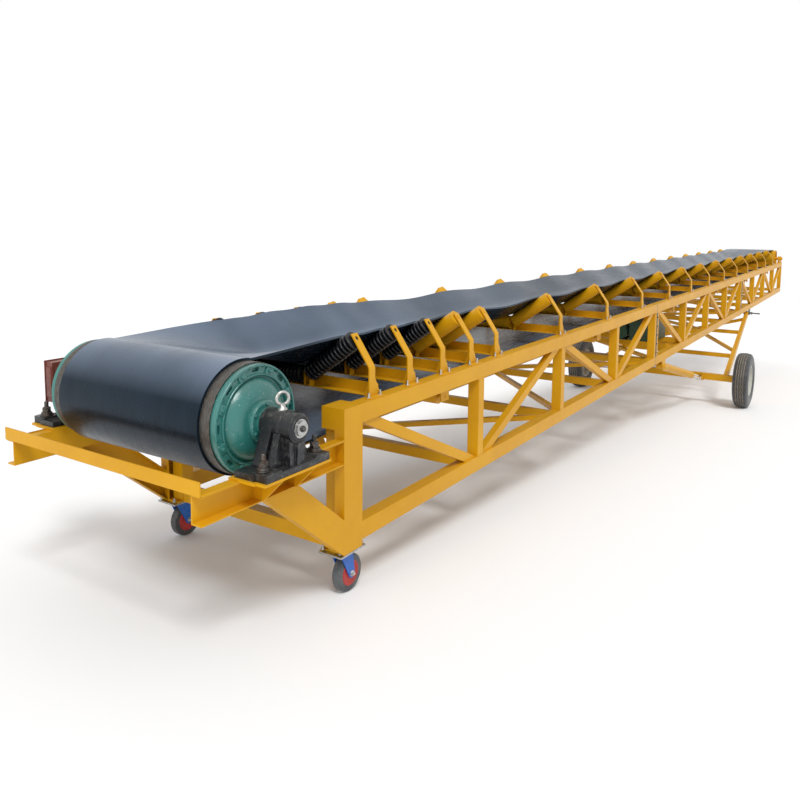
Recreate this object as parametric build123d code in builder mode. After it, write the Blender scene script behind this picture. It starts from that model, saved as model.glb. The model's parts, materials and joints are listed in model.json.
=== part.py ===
"""Mobile belt conveyor on a lattice boom, with a motorised tail drum and a lifting wheel stand.

Every piece is drawn in the boom's own frame: X runs up the boom from the tail face of the end
posts, Y points to the left side, and Z stands square on the boom, from the underside of the
bottom chords. The last block tilts the boom as it parks and puts the floor at Z = 0.
"""
from build123d import *
import math
import os

os.makedirs("parts", exist_ok=True)

# Boom
bay = 1500.0
bays_per_section = 4
section_count = 3
truss_width = 1400.0
truss_height = 725.0
chord_height = 98.0
chord_width = 80.0
tube_wall = 5.0
post_length = 75.0
diagonal_depth = 56.0
diagonal_width = 48.0
joint_plate = 12.0
cross_height = 70.0
cross_width = 60.0
plan_bar_width = 50.0
plan_bar_height = 40.0

# End posts and tail arms
end_post_length = 155.0
end_post_flange = 63.0
end_post_web = 8.0
end_post_drop = 35.0
end_block_height = 115.0
end_block_width = 146.0
end_lip = 10.0
arm_reach = 930.0
arm_height = 127.0
arm_flange = 60.0
arm_web = 7.0
arm_bottom = 439.0
beam_leg = 62.0
beam_wall = 7.0
brace_height = 226.0
brace_drop = 474.0
brace_start = 342.0
brace_flange = 55.0
pad_length = 450.0
pad_width = 150.0
pad_thickness = 12.0

# Tail drum and bearings
drum_axis_x = -500.0
drum_axis_z = 770.0
drum_radius = 256.0
drum_length = 1120.0
shell_wall = 16.0
cover_rim_radius = 250.0
cover_rim_width = 24.0
cover_groove_radius = 204.0
cover_hub_radius = 96.0
cover_hub_face = 84.0
cover_collar_radius = 66.0
cover_collar_face = 98.0
cover_slots = 8
shaft_radius = 42.0
shaft_half = 850.0
drum_motor_radius = 190.0
drum_motor_length = 760.0
block_y = 717.0
block_width = 100.0
block_base_length = 420.0
block_base_width = 116.0
block_base_height = 28.0
block_foot = 260.0
block_housing_radius = 70.0
end_disc_radius = 34.0
end_disc_width = 10.0
junction_box_size = (170.0, 70.0, 220.0)
gland_radius = 14.0
gland_length = 30.0
cable_bore = 8.0
fit = 0.3

# Belt
belt_width = 1000.0
belt_thickness = 12.0

# Troughing idlers
roller_radius = 54.0
roller_length = 380.0
stub_radius = 12.0
stub_length = 20.0
trough_angle = 35.0
centre_roller_z = 797.0
wing_gap = 36.0
close_idlers = 5
impact_idlers = 3
spaced_idlers = 12
first_idler_x = 305.0
close_pitch = 377.0
idler_pitch = 1233.0
base_angle_leg = 62.0
base_angle_wall = 6.0
bracket_y = 650.0
bracket_width = 52.0
bracket_plate = 8.0
bracket_rib = 30.0
bracket_tip = 30.0

# Return rollers
return_roller_length = 1150.0
first_return_x = 1150.0
return_pitch = 3000.0
return_count = 6
return_plate = 8.0

# Head pulley
head_axis_x = 17850.0
head_radius = 200.0
head_length = 1150.0
head_shell = 14.0
head_disc = 20.0
head_recess = 45.0
head_shaft_radius = 35.0
head_block_length = 260.0
head_block_width = 70.0
head_block_radius = 56.0

# Hydraulic unit on its platform
unit_x = 6900.0
unit_y = -440.0
unit_length = 620.0
tank_width = 320.0
tank_height = 260.0
motor_radius = 95.0
motor_length = 360.0
motor_foot = 12.0
pump_radius = 45.0
pump_length = 140.0
platform_beam = 60.0

# Wheel stand
pivot_x = 13050.0
pivot_z = -70.0
pin_radius = 20.0
pin_play = 0.05
pin_head = 10.0
ear_thickness = 12.0
ear_radius = 44.0
ear_gap = 78.0
ear_plate = 10.0
eye_width = 76.0
eye_radius = 38.0
leg_height = 90.0
leg_width = 60.0
axle_x = 9000.0
axle_beam = 90.0
leg_foot_y = 990.0
wheel_y = 1240.0
tyre_radius = 405.0
tyre_width = 215.0
rim_radius = 222.0
rim_width = 180.0
hub_radius = 62.0
axle_stub_radius = 30.0
ground_tilt = 4.9

# Lifting cylinders
cylinder_pin_x = 6420.0
cylinder_pin_z = -75.0
cylinder_rod_pin_x = 8830.0
barrel_radius = 50.0
barrel_length = 1750.0
rod_radius = 27.5
rod_stroke = 800.0
rod_neck = 130.0
cylinder_eye_width = 50.0
cylinder_ear_gap = 54.0
cylinder_eye_radius = 38.0

# Casters
caster_x = 78.0
caster_plate_thickness = 10.0
caster_plate_size = 150.0
caster_height = 237.0
caster_radius = 100.0
caster_width = 50.0
caster_trail = 38.0
fork_plate = 6.0
fork_gap = 58.0

# Sizes that follow
half_width = truss_width / 2
end_tube = end_block_width - end_post_flange
boom_length = bay * bays_per_section * section_count
section_length = bay * bays_per_section
arm_top = arm_bottom + arm_height
arm_inner = half_width - arm_flange
chord_inner = half_width - chord_width
chord_top = truss_height
head_axis_z = drum_axis_z + drum_radius - head_radius
return_roller_z = head_axis_z - head_radius - belt_thickness - 2 * fit - roller_radius
trough = math.radians(trough_angle)
wing_y = roller_length / 2 + wing_gap
wing_z = centre_roller_z + roller_radius - roller_radius * math.cos(trough)
idler_xs = [first_idler_x + close_pitch * i for i in range(close_idlers)]
idler_xs += [idler_xs[-1] + idler_pitch * (i + 1) for i in range(spaced_idlers)]
return_xs = [first_return_x + return_pitch * i for i in range(return_count)]
bearing_seat = arm_top + pad_thickness
caster_wheel_x = caster_x + caster_trail
caster_wheel_z = -end_post_drop - caster_plate_thickness - caster_height + caster_radius
tilt = math.radians(ground_tilt)
axle_z = (
    tyre_radius
    - caster_radius
    + (caster_wheel_x - axle_x) * math.sin(tilt)
    + caster_wheel_z * math.cos(tilt)
) / math.cos(tilt)
SIDES = (("right", -1), ("left", 1))

pieces = []


def keep(builder, label):
    """Label a finished piece and list it for the last block."""
    builder.part.label = label
    pieces.append(builder)


def side_band(side, inner, outer):
    """Middle and thickness of a plate that lies between two distances from the centre plane."""
    return side * (inner + outer) / 2, outer - inner


def xz_plane(y):
    """Upright plane along the boom at one Y, with X to the right and Z up."""
    return Plane(origin=(0, y, 0), x_dir=(1, 0, 0), z_dir=(0, -1, 0))


def yz_plane(x):
    """Plane across the boom at one X, with Y to the right and Z up."""
    return Plane(origin=(x, 0, 0), x_dir=(0, 1, 0), z_dir=(1, 0, 0))


def tube_along_x(x0, x1, y, z, width, height, wall):
    """Hollow rectangular tube between two stations of the boom."""
    with BuildSketch(yz_plane(x0)) as profile:
        with Locations((y, z)):
            Rectangle(width, height)
            Rectangle(width - 2 * wall, height - 2 * wall, mode=Mode.SUBTRACT)
    extrude(profile.sketch, amount=x1 - x0)


def upright(x, y, z0, z1, length, width, wall):
    """Hollow rectangular post."""
    with BuildSketch(Plane.XY.offset(z0)) as profile:
        with Locations((x, y)):
            Rectangle(length, width)
            Rectangle(length - 2 * wall, width - 2 * wall, mode=Mode.SUBTRACT)
    extrude(profile.sketch, amount=z1 - z0)


def slanted_bar(y, width, start, end, depth):
    """Bar between two post faces and two heights, its ends cut level."""
    (x0, z0), (x1, z1) = start, end
    foot = depth * math.hypot(x1 - x0, z1 - z0) / abs(z1 - z0)
    with BuildSketch(xz_plane(y)) as profile:
        Polygon((x0, z0), (x0 + foot, z0), (x1, z1), (x1 - foot, z1), align=None)
    extrude(profile.sketch, amount=width / 2, both=True)


def block(x0, x1, y0, y1, z0, z1):
    """Solid box between two corners."""
    with BuildSketch(Plane.XY.offset(z0)) as profile:
        with Locations(((x0 + x1) / 2, (y0 + y1) / 2)):
            Rectangle(x1 - x0, abs(y1 - y0))
    extrude(profile.sketch, amount=z1 - z0)


def post_stations(section):
    """Centres of a section's posts: the end ones stand just inside its ends."""
    start = section * section_length
    inset = joint_plate / 2 + post_length / 2
    stations = [start + bay * i for i in range(bays_per_section + 1)]
    stations[0] = start + (end_post_length / 2 if section == 0 else inset)
    stations[-1] = start + section_length - (0 if section == section_count - 1 else inset)
    if section == section_count - 1:
        stations[-1] = boom_length - post_length / 2
    return stations


# Side frames: chords, posts and diagonals of each boom section
SECTION_NAMES = ("tail", "middle", "head")
for section, section_name in enumerate(SECTION_NAMES):
    x_start = section * section_length + (joint_plate / 2 if section else end_post_length)
    x_end = (section + 1) * section_length - (joint_plate / 2 if section < section_count - 1 else 0)
    stations = post_stations(section)
    for side_name, side in SIDES:
        chord_y = side * (half_width - chord_width / 2)
        with BuildPart() as side_frame:
            for chord_z in (chord_height / 2, truss_height - chord_height / 2):
                tube_along_x(x_start, x_end, chord_y, chord_z, chord_width, chord_height, tube_wall)
            for number, x in enumerate(stations):
                if section or number:
                    z_span = (chord_height, truss_height - chord_height)
                    upright(x, chord_y, *z_span, post_length, chord_width, tube_wall)
            for number in range(bays_per_section):
                first = stations[number] + post_length / 2
                last = stations[number + 1] - post_length / 2
                if section == 0 and number == 0:
                    first = end_post_length
                low, high = chord_height, truss_height - chord_height
                if number % 2 == 0:
                    low, high = high, low
                slanted_bar(chord_y, diagonal_width, (first, low), (last, high), diagonal_depth)
        keep(side_frame, f"side_frame_{section_name}_{side_name}")

# Cross members at the posts and plan diagonals in the bottom plane
with BuildPart() as cross_members:
    for section in range(section_count):
        stations = post_stations(section)
        for number, x in enumerate(stations):
            if section or number:
                x_span = (x - cross_width / 2, x + cross_width / 2)
                block(*x_span, -chord_inner, chord_inner, 0, cross_height)
        for number in range(bays_per_section):
            run = plan_bar_width * 0.65
            x_near = stations[number] + end_post_length / 2 + run
            x_far = stations[number + 1] - end_post_length / 2 - run
            if number % 2:
                x_near, x_far = x_far, x_near
            with BuildSketch(Plane.XY.offset(cross_height - plan_bar_height)):
                Polygon(
                    (x_near - run, -chord_inner),
                    (x_near + run, -chord_inner),
                    (x_far + run, chord_inner),
                    (x_far - run, chord_inner),
                    align=None,
                )
            extrude(amount=plan_bar_height)
keep(cross_members, "cross_members")

# Bolted flange plates between the sections
with BuildPart() as joint_plates:
    for section in range(1, section_count):
        x = section * section_length
        for side_name, side in SIDES:
            y, width = side_band(side, chord_inner - 12, half_width)
            for z0, z1 in ((0, chord_height + 60), (truss_height - chord_height - 60, truss_height)):
                block(x - joint_plate / 2, x + joint_plate / 2, y - width / 2, y + width / 2, z0, z1)
keep(joint_plates, "section_joint_plates")

# End posts: an outer channel, an inner tube, the top block and the bottom cross member
block_bottom = truss_height - end_block_height
with BuildPart() as end_posts:
    for side_name, side in SIDES:
        web_y = side * (half_width - end_post_web / 2)
        post_x = end_post_length / 2
        with BuildSketch(Plane.XY.offset(-end_post_drop)):
            with Locations((post_x, web_y)):
                Rectangle(end_post_length, end_post_web)
            flange_y, flange_width = side_band(side, half_width - end_post_flange, half_width)
            for flange_x in (end_post_web / 2, end_post_length - end_post_web / 2):
                with Locations((flange_x, flange_y)):
                    Rectangle(end_post_web, flange_width)
            tube_y = side * (half_width - end_post_flange - end_tube / 2)
            with Locations((post_x, tube_y)):
                Rectangle(end_tube, end_tube)
                Rectangle(end_tube - 2 * tube_wall, end_tube - 2 * tube_wall, mode=Mode.SUBTRACT)
            with Locations((post_x, side * (half_width - end_post_flange / 2))):
                Rectangle(end_post_web, end_post_flange)
        extrude(amount=block_bottom + end_post_drop)
        block_y0 = side * half_width
        block_y1 = side * (half_width - end_block_width)
        block(0, end_post_length, block_y0, block_y1, block_bottom, truss_height)
        block(0, end_post_length, block_y0, block_y1, -end_post_drop, -end_post_drop + end_lip)
keep(end_posts, "end_posts")

with BuildPart() as tail_cross_member:
    inner = half_width - end_post_flange - end_tube
    block(40, 115, -inner, inner, -end_post_drop, -end_post_drop + 80)
keep(tail_cross_member, "tail_cross_members")

# Tail arms: channels with their flanges outward, the brace and the bearing pad of each side
with BuildPart() as tail_arms:
    for side_name, side in SIDES:
        with BuildSketch(yz_plane(-arm_reach)):
            web_y = side * (arm_inner + arm_web / 2)
            flange_y, flange_width = side_band(side, arm_inner, half_width)
            with Locations((web_y, arm_bottom + arm_height / 2)):
                Rectangle(arm_web, arm_height)
            for flange_z in (arm_bottom + arm_web / 2, arm_top - arm_web / 2):
                with Locations((flange_y, flange_z)):
                    Rectangle(flange_width, arm_web)
        extrude(amount=arm_reach)
        for rib_x in (drum_axis_x - 90, drum_axis_x + 130):
            rib_y, rib_width = side_band(side, arm_inner + arm_web, half_width - 4)
            with BuildSketch(xz_plane(rib_y)):
                Polygon(
                    (rib_x, arm_bottom + arm_web),
                    (rib_x + 10, arm_bottom + arm_web),
                    (rib_x + 10, arm_top - arm_web),
                    (rib_x, arm_top - arm_web),
                    align=None,
                )
            extrude(amount=rib_width / 2, both=True)
keep(tail_arms, "tail_arms")

with BuildPart() as tail_braces:
    for side_name, side in SIDES:
        slope = brace_drop / (brace_start + brace_height)
        lower = brace_start + brace_height
        web_y, web_width = side_band(side, half_width - arm_web, half_width)
        with BuildSketch(xz_plane(web_y)):
            Polygon(
                (-lower, arm_bottom),
                (-brace_start, arm_bottom),
                (0, arm_bottom - slope * brace_start),
                (0, arm_bottom - slope * lower),
                align=None,
            )
        extrude(amount=web_width / 2, both=True)
        flange_y, flange_width = side_band(side, half_width - brace_flange, half_width)
        for edge in (brace_start, lower - arm_web / slope):
            with BuildSketch(xz_plane(flange_y)):
                thick = arm_web / slope
                Polygon(
                    (-edge - thick, arm_bottom),
                    (-edge, arm_bottom),
                    (0, arm_bottom - slope * edge),
                    (0, arm_bottom - slope * (edge + thick)),
                    align=None,
                )
            extrude(amount=flange_width / 2, both=True)
keep(tail_braces, "tail_braces")

with BuildPart() as bearing_pads:
    for side_name, side in SIDES:
        pad_y, width = side_band(side, arm_inner, arm_inner + pad_width)
        block(
            drum_axis_x - pad_length / 2,
            drum_axis_x + pad_length / 2,
            pad_y - width / 2,
            pad_y + width / 2,
            arm_top,
            bearing_seat,
        )
keep(bearing_pads, "bearing_pads")

with BuildPart() as tail_beam:
    with BuildSketch(xz_plane(0)):
        x_front = -arm_reach - beam_wall
        Polygon(
            (x_front, arm_top),
            (x_front + beam_leg, arm_top),
            (x_front + beam_leg, arm_top + beam_wall),
            (x_front + beam_wall, arm_top + beam_wall),
            (x_front + beam_wall, arm_top + beam_leg),
            (x_front, arm_top + beam_leg),
            align=None,
        )
    extrude(amount=half_width, both=True)
keep(tail_beam, "tail_beam")

# Motorised drum: shell, dished end covers, fixed shaft and the motor inside
drum_plane = Plane(origin=(drum_axis_x, 0, drum_axis_z), x_dir=(1, 0, 0), z_dir=(0, -1, 0))
with BuildPart() as drum_shell:
    with BuildSketch(drum_plane):
        Circle(drum_radius)
        Circle(drum_radius - shell_wall, mode=Mode.SUBTRACT)
    extrude(amount=drum_length / 2, both=True)
keep(drum_shell, "drum_shell")

with BuildPart() as drum_covers:
    for side_name, side in SIDES:
        seat = drum_length / 2
        profile_plane = Plane(
            origin=(drum_axis_x, side * seat, drum_axis_z),
            x_dir=(1, 0, 0),
            z_dir=(0, 0, side),
        )
        with BuildSketch(profile_plane):
            with BuildLine():
                bore = shaft_radius + fit
                rim = cover_rim_width
                Polyline(
                    (cover_groove_radius - 14, rim - 8),
                    (cover_groove_radius, rim),
                    (cover_rim_radius - 4, rim),
                    (cover_rim_radius, rim - 4),
                    (cover_rim_radius, 0),
                    (bore, 0),
                    (bore, cover_collar_face),
                    (cover_collar_radius, cover_collar_face),
                    (cover_collar_radius, cover_hub_face + 8),
                    (cover_hub_radius - 8, cover_hub_face + 8),
                    (cover_hub_radius, cover_hub_face),
                    (cover_hub_radius, cover_hub_face - 14),
                )
                ThreePointArc(
                    (cover_hub_radius, cover_hub_face - 14),
                    ((cover_groove_radius - 14 + cover_hub_radius) / 2 + 8, cover_hub_face - 28),
                    (cover_groove_radius - 14, rim - 8),
                )
            make_face()
        revolve(axis=Axis((drum_axis_x, 0, drum_axis_z), (0, 1, 0)))
        slot_plane = Plane(
            origin=(drum_axis_x, side * (seat + cover_rim_width), drum_axis_z),
            x_dir=(1, 0, 0),
            z_dir=(0, side, 0),
        )
        with BuildSketch(slot_plane):
            with PolarLocations((cover_rim_radius + cover_groove_radius) / 2, cover_slots):
                SlotOverall(46, 20, rotation=90)
        extrude(amount=-14, mode=Mode.SUBTRACT)
keep(drum_covers, "drum_covers")

with BuildPart() as drum_shaft:
    with BuildSketch(drum_plane):
        Circle(shaft_radius)
    extrude(amount=shaft_half, both=True)
keep(drum_shaft, "drum_shaft")

with BuildPart() as drum_motor:
    with BuildSketch(drum_plane):
        Circle(drum_motor_radius)
        Circle(shaft_radius, mode=Mode.SUBTRACT)
    extrude(amount=drum_motor_length / 2, both=True)
keep(drum_motor, "drum_motor")

# Bearing blocks: long base, hull-shaped pedestal, housing and stiffening rib
with BuildPart() as bearing_blocks:
    for side_name, side in SIDES:
        base_top = bearing_seat + block_base_height
        block(
            drum_axis_x - block_base_length / 2,
            drum_axis_x + block_base_length / 2,
            side * block_y - block_base_width / 2,
            side * block_y + block_base_width / 2,
            bearing_seat,
            base_top,
        )
        with BuildSketch(xz_plane(side * block_y)):
            with Locations((drum_axis_x, drum_axis_z)):
                Circle(block_housing_radius)
            with Locations((drum_axis_x, base_top + 5)):
                Rectangle(block_foot, 10)
            make_hull()
        extrude(amount=block_width * 0.3, both=True)
        with BuildSketch(xz_plane(side * block_y)):
            with Locations((drum_axis_x, drum_axis_z)):
                Circle(block_housing_radius)
            with Locations((drum_axis_x, (drum_axis_z + base_top) / 2)):
                Rectangle(block_housing_radius * 0.9, drum_axis_z - base_top)
        extrude(amount=block_width / 2, both=True)
    with BuildSketch(drum_plane):
        Circle(shaft_radius + fit)
    extrude(amount=shaft_half, both=True, mode=Mode.SUBTRACT)
keep(bearing_blocks, "bearing_blocks")

with BuildPart() as shaft_caps:
    with BuildSketch(xz_plane(-shaft_half)):
        with Locations((drum_axis_x, drum_axis_z)):
            Circle(end_disc_radius)
    extrude(amount=end_disc_width)
keep(shaft_caps, "shaft_cap")

box_x, box_y, box_z = junction_box_size
with BuildPart() as junction_box:
    with BuildSketch(xz_plane(shaft_half)):
        with Locations((drum_axis_x, drum_axis_z)):
            Rectangle(box_x, box_z)
    extrude(amount=-box_y)
    with BuildSketch(Plane.XY.offset(drum_axis_z - box_z / 2)):
        with Locations((drum_axis_x, shaft_half + box_y / 2)):
            Circle(gland_radius)
    extrude(amount=-gland_length)
    with BuildSketch(Plane.XY.offset(drum_axis_z - box_z / 2 - gland_length)):
        with Locations((drum_axis_x, shaft_half + box_y / 2)):
            Circle(cable_bore)
    extrude(amount=gland_length, mode=Mode.SUBTRACT)
keep(junction_box, "junction_box")

# Belt: one fixed loop, flat on the pulleys and troughed over the idlers
half_belt = belt_width / 2
flat_y = wing_y - roller_radius * math.sin(trough)
flat_z = centre_roller_z + roller_radius + fit
wing_reach = half_belt - flat_y


def belt_strips(x, angle, low, thickness):
    """Belt cross-section at one station, as its flat middle and its two raised wings."""
    rise = wing_reach * math.sin(angle)
    out = wing_reach * math.cos(angle)
    shift = thickness * math.sin(angle)
    lift = thickness * math.cos(angle)
    inner = flat_y - thickness * math.tan(angle / 2)
    high = low + thickness
    with BuildSketch(yz_plane(x)) as middle:
        Polygon((-flat_y, low), (flat_y, low), (inner, high), (-inner, high), align=None)
    strips = [middle.sketch]
    for side in (-1, 1):
        with BuildSketch(yz_plane(x)) as wing:
            Polygon(
                (side * flat_y, low),
                (side * (flat_y + out), low + rise),
                (side * (flat_y + out - shift), low + rise + lift),
                (side * inner, high),
                align=None,
            )
        strips.append(wing.sketch)
    return strips


def leave_angle(centre_x, centre_z, radius, x, z):
    """Angle past a pulley's top at which the belt leaves it on a tangent to a lower point."""
    reach, height = abs(x - centre_x), z - centre_z
    return math.asin(radius / math.hypot(reach, height)) - math.atan2(height, reach)


with BuildPart() as belt:
    outer_t = drum_radius + fit + belt_thickness
    inner_t = drum_radius + fit
    outer_h = head_radius + fit + belt_thickness
    inner_h = head_radius + fit
    low_out = return_roller_z + roller_radius + fit
    run_x = first_return_x - drum_axis_x
    drop = low_out - drum_axis_z
    lean = math.asin(outer_t / math.hypot(run_x, drop)) + math.atan2(drop, run_x)
    wrap_end = 270 + math.degrees(lean)
    tail_leave = leave_angle(drum_axis_x, drum_axis_z, inner_t, idler_xs[0], flat_z)
    head_leave = leave_angle(head_axis_x, head_axis_z, inner_h, idler_xs[-1], flat_z)
    tail_x = drum_axis_x + inner_t * math.sin(tail_leave)
    head_x = head_axis_x - inner_h * math.sin(head_leave)
    tail_z = drum_axis_z + inner_t * math.cos(tail_leave)
    head_z = head_axis_z + inner_h * math.cos(head_leave)
    tail_start = math.degrees(math.acos((tail_x - drum_axis_x) / outer_t))
    head_stop = math.degrees(math.acos((head_x - head_axis_x) / outer_h))
    tail_rise = drum_axis_z + outer_t * math.sin(math.radians(tail_start)) - tail_z
    head_rise = head_axis_z + outer_h * math.sin(math.radians(head_stop)) - head_z
    with BuildSketch(xz_plane(0)):
        with BuildLine():
            tail_out = CenterArc(
                (drum_axis_x, drum_axis_z), outer_t, tail_start, wrap_end - tail_start
            )
            corner = (first_return_x, low_out)
            Polyline(tail_out @ 1, corner, (head_axis_x, head_axis_z - outer_h))
            head_out = CenterArc((head_axis_x, head_axis_z), outer_h, 270, 90 + head_stop)
            head_turn = 90 + math.degrees(head_leave)
            head_in = CenterArc((head_axis_x, head_axis_z), inner_h, head_turn, -90 - head_turn)
            Line(head_out @ 1, head_in @ 0)
            tail_turn = 90 - math.degrees(tail_leave)
            tail_in = CenterArc(
                (drum_axis_x, drum_axis_z), inner_t, wrap_end, tail_turn - wrap_end
            )
            inner_corner = (
                first_return_x - belt_thickness * math.tan(lean / 2),
                low_out + belt_thickness,
            )
            Polyline(head_in @ 1, inner_corner, tail_in @ 0)
            Line(tail_in @ 1, tail_out @ 0)
        make_face()
    extrude(amount=half_belt, both=True)
    tail_flat = belt_strips(tail_x, 0, tail_z, tail_rise)
    first_trough = belt_strips(idler_xs[0], trough, flat_z, belt_thickness)
    last_trough = belt_strips(idler_xs[-1], trough, flat_z, belt_thickness)
    head_flat = belt_strips(head_x, 0, head_z, head_rise)
    for strip in range(3):
        loft([tail_flat[strip], first_trough[strip]], ruled=True)
        loft([first_trough[strip], last_trough[strip]], ruled=True)
        loft([last_trough[strip], head_flat[strip]], ruled=True)
keep(belt, "conveyor_belt")

# Idlers: base angle, inner brackets and leaning outer brackets
wing_dir = (math.cos(trough), math.sin(trough))
stub_end = roller_length + stub_length * 0.6
lean_y = wing_y + stub_end * wing_dir[0]
lean_z = wing_z + stub_end * wing_dir[1]
knee_drop = (bracket_y - lean_y) / math.sin(trough)
knee_z = lean_z - knee_drop * math.cos(trough)
tip_point = (lean_y - bracket_tip * math.sin(trough), lean_z + bracket_tip * math.cos(trough))


def wing_plane(x, side, along):
    """Plane square to a wing roller's axis, at one distance along it."""
    return Plane(
        origin=(x, side * (wing_y + along * wing_dir[0]), wing_z + along * wing_dir[1]),
        x_dir=(1, 0, 0),
        z_dir=(0, side * wing_dir[0], wing_dir[1]),
    )


def outer_bracket(x, side):
    """Bent plate with a rib, from the chord to the wing roller's end."""
    with BuildSketch(yz_plane(x)) as profile:
        with BuildLine():
            FilletPolyline(
                (side * bracket_y, chord_top),
                (side * bracket_y, knee_z),
                (side * tip_point[0], tip_point[1]),
                radius=30,
            )
        trace(line_width=bracket_plate)
    extrude(profile.sketch, amount=bracket_width / 2, both=True)
    with BuildSketch(yz_plane(x)) as profile:
        Polygon(
            (side * bracket_y, chord_top),
            (side * (bracket_y - bracket_rib * 1.6), chord_top),
            (side * (bracket_y - bracket_rib * 0.6), chord_top + 90),
            (side * (bracket_y - bracket_rib * 0.6), knee_z - 10),
            (side * bracket_y, knee_z),
            align=None,
        )
    extrude(profile.sketch, amount=bracket_plate / 2, both=True)
    with BuildSketch(wing_plane(x, side, roller_length - 5)) as profile:
        Circle(stub_radius + fit)
    extrude(profile.sketch, amount=stub_length * 2, mode=Mode.SUBTRACT)


def inner_bracket(x, side):
    """Pair of plates that hold the centre roller and the wing roller's lower end."""
    with BuildSketch(yz_plane(x)) as profile:
        plate_y = side * (roller_length / 2 + 6)
        floor_z = chord_top + base_angle_wall
        with Locations((plate_y, (floor_z + centre_roller_z + 20) / 2)):
            Rectangle(bracket_plate, centre_roller_z + 20 - floor_z)
        foot_y = side * (wing_y + 6)
        axis_y = side * (wing_y - 12 * wing_dir[0])
        axis_z = wing_z - 12 * wing_dir[1]
        lower = (axis_y + side * 30 * math.sin(trough), axis_z - 30 * math.cos(trough))
        upper = (axis_y - side * 20 * math.sin(trough), axis_z + 20 * math.cos(trough))
        with BuildLine():
            Polyline((foot_y, floor_z + bracket_plate / 2), lower, upper)
        trace(line_width=bracket_plate)
        with Locations(((plate_y + foot_y) / 2, floor_z + 4)):
            Rectangle(abs(foot_y - plate_y) + bracket_plate, 8)
    extrude(profile.sketch, amount=bracket_width * 0.4, both=True)
    with BuildSketch(xz_plane(side * roller_length / 2)) as profile:
        with Locations((x, centre_roller_z)):
            Circle(stub_radius + fit)
    extrude(profile.sketch, amount=-side * 14, mode=Mode.SUBTRACT)
    with BuildSketch(wing_plane(x, side, 0)) as profile:
        Circle(stub_radius + fit)
    extrude(profile.sketch, amount=-22, mode=Mode.SUBTRACT)


def roller(plane, length, radius, stub):
    """Roller with its rounded ends and the stub shafts that its brackets hold."""
    with BuildSketch(plane) as profile:
        Circle(radius)
    extrude(profile.sketch, amount=length)
    with BuildSketch(plane.offset(-stub)) as profile:
        Circle(stub_radius)
    extrude(profile.sketch, amount=length + 2 * stub)


with BuildPart() as idler_bases:
    base_half = bracket_y - bracket_plate / 2
    base_top = chord_top + base_angle_wall
    for x in idler_xs:
        base_x = x + bracket_plate / 2
        base_end = base_x + base_angle_leg
        block(base_x, base_end, -base_half, base_half, chord_top, base_top)
        web_x = base_end - base_angle_wall
        block(web_x, base_end, -base_half, base_half, base_top, chord_top + base_angle_leg)
keep(idler_bases, "idler_bases")

with BuildPart() as outer_brackets:
    for x in idler_xs:
        for side_name, side in SIDES:
            outer_bracket(x, side)
keep(outer_brackets, "outer_brackets")

with BuildPart() as inner_brackets:
    for x in idler_xs:
        for side_name, side in SIDES:
            inner_bracket(x, side)
keep(inner_brackets, "inner_brackets")

ROLLER_GROUPS = (
    ("impact_rollers", idler_xs[:impact_idlers]),
    ("trough_rollers_middle", idler_xs[impact_idlers : impact_idlers + 8]),
    ("trough_rollers_head", idler_xs[impact_idlers + 8 :]),
)
for roller_name, stations in ROLLER_GROUPS:
    with BuildPart() as rollers:
        for x in stations:
            centre_end = Plane(
                origin=(x, -roller_length / 2, centre_roller_z),
                x_dir=(1, 0, 0),
                z_dir=(0, 1, 0),
            )
            roller(centre_end, roller_length, roller_radius, stub_length * 0.5)
            for side_name, side in SIDES:
                roller(wing_plane(x, side, 0), roller_length, roller_radius, stub_length)
    keep(rollers, roller_name)

# Return rollers on plates bolted inside the top chords
with BuildPart() as return_rollers:
    for x in return_xs:
        end_plane = Plane(
            origin=(x, -return_roller_length / 2, return_roller_z),
            x_dir=(1, 0, 0),
            z_dir=(0, 1, 0),
        )
        stub = chord_inner - return_roller_length / 2 - 2
        roller(end_plane, return_roller_length, roller_radius, stub)
keep(return_rollers, "return_rollers")

with BuildPart() as return_brackets:
    for x in return_xs:
        for side_name, side in SIDES:
            plate_y = side * (chord_inner - return_plate / 2)
            with BuildSketch(xz_plane(plate_y)):
                with Locations((x, (return_roller_z - 30 + truss_height - 30) / 2)):
                    Rectangle(100, truss_height - 30 - return_roller_z + 30)
            extrude(amount=return_plate / 2, both=True)
            with BuildSketch(xz_plane(plate_y)):
                with Locations((x, return_roller_z)):
                    Circle(stub_radius + fit)
            extrude(amount=return_plate, both=True, mode=Mode.SUBTRACT)
keep(return_brackets, "return_brackets")

# Head pulley, its shaft and bearing blocks on the top chords
head_plane = Plane(origin=(head_axis_x, 0, head_axis_z), x_dir=(1, 0, 0), z_dir=(0, -1, 0))
with BuildPart() as head_pulley:
    with BuildSketch(head_plane):
        Circle(head_radius)
        Circle(head_radius - head_shell, mode=Mode.SUBTRACT)
    extrude(amount=head_length / 2, both=True)
    for side_name, side in SIDES:
        disc_y, disc_width = side_band(
            side, head_length / 2 - head_recess - head_disc, head_length / 2 - head_recess
        )
        with BuildSketch(xz_plane(disc_y)):
            with Locations((head_axis_x, head_axis_z)):
                Circle(head_radius - head_shell)
        extrude(amount=disc_width / 2, both=True)
    with BuildSketch(head_plane):
        Circle(head_shaft_radius)
    extrude(amount=half_width + 20, both=True)
keep(head_pulley, "head_pulley")

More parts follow.
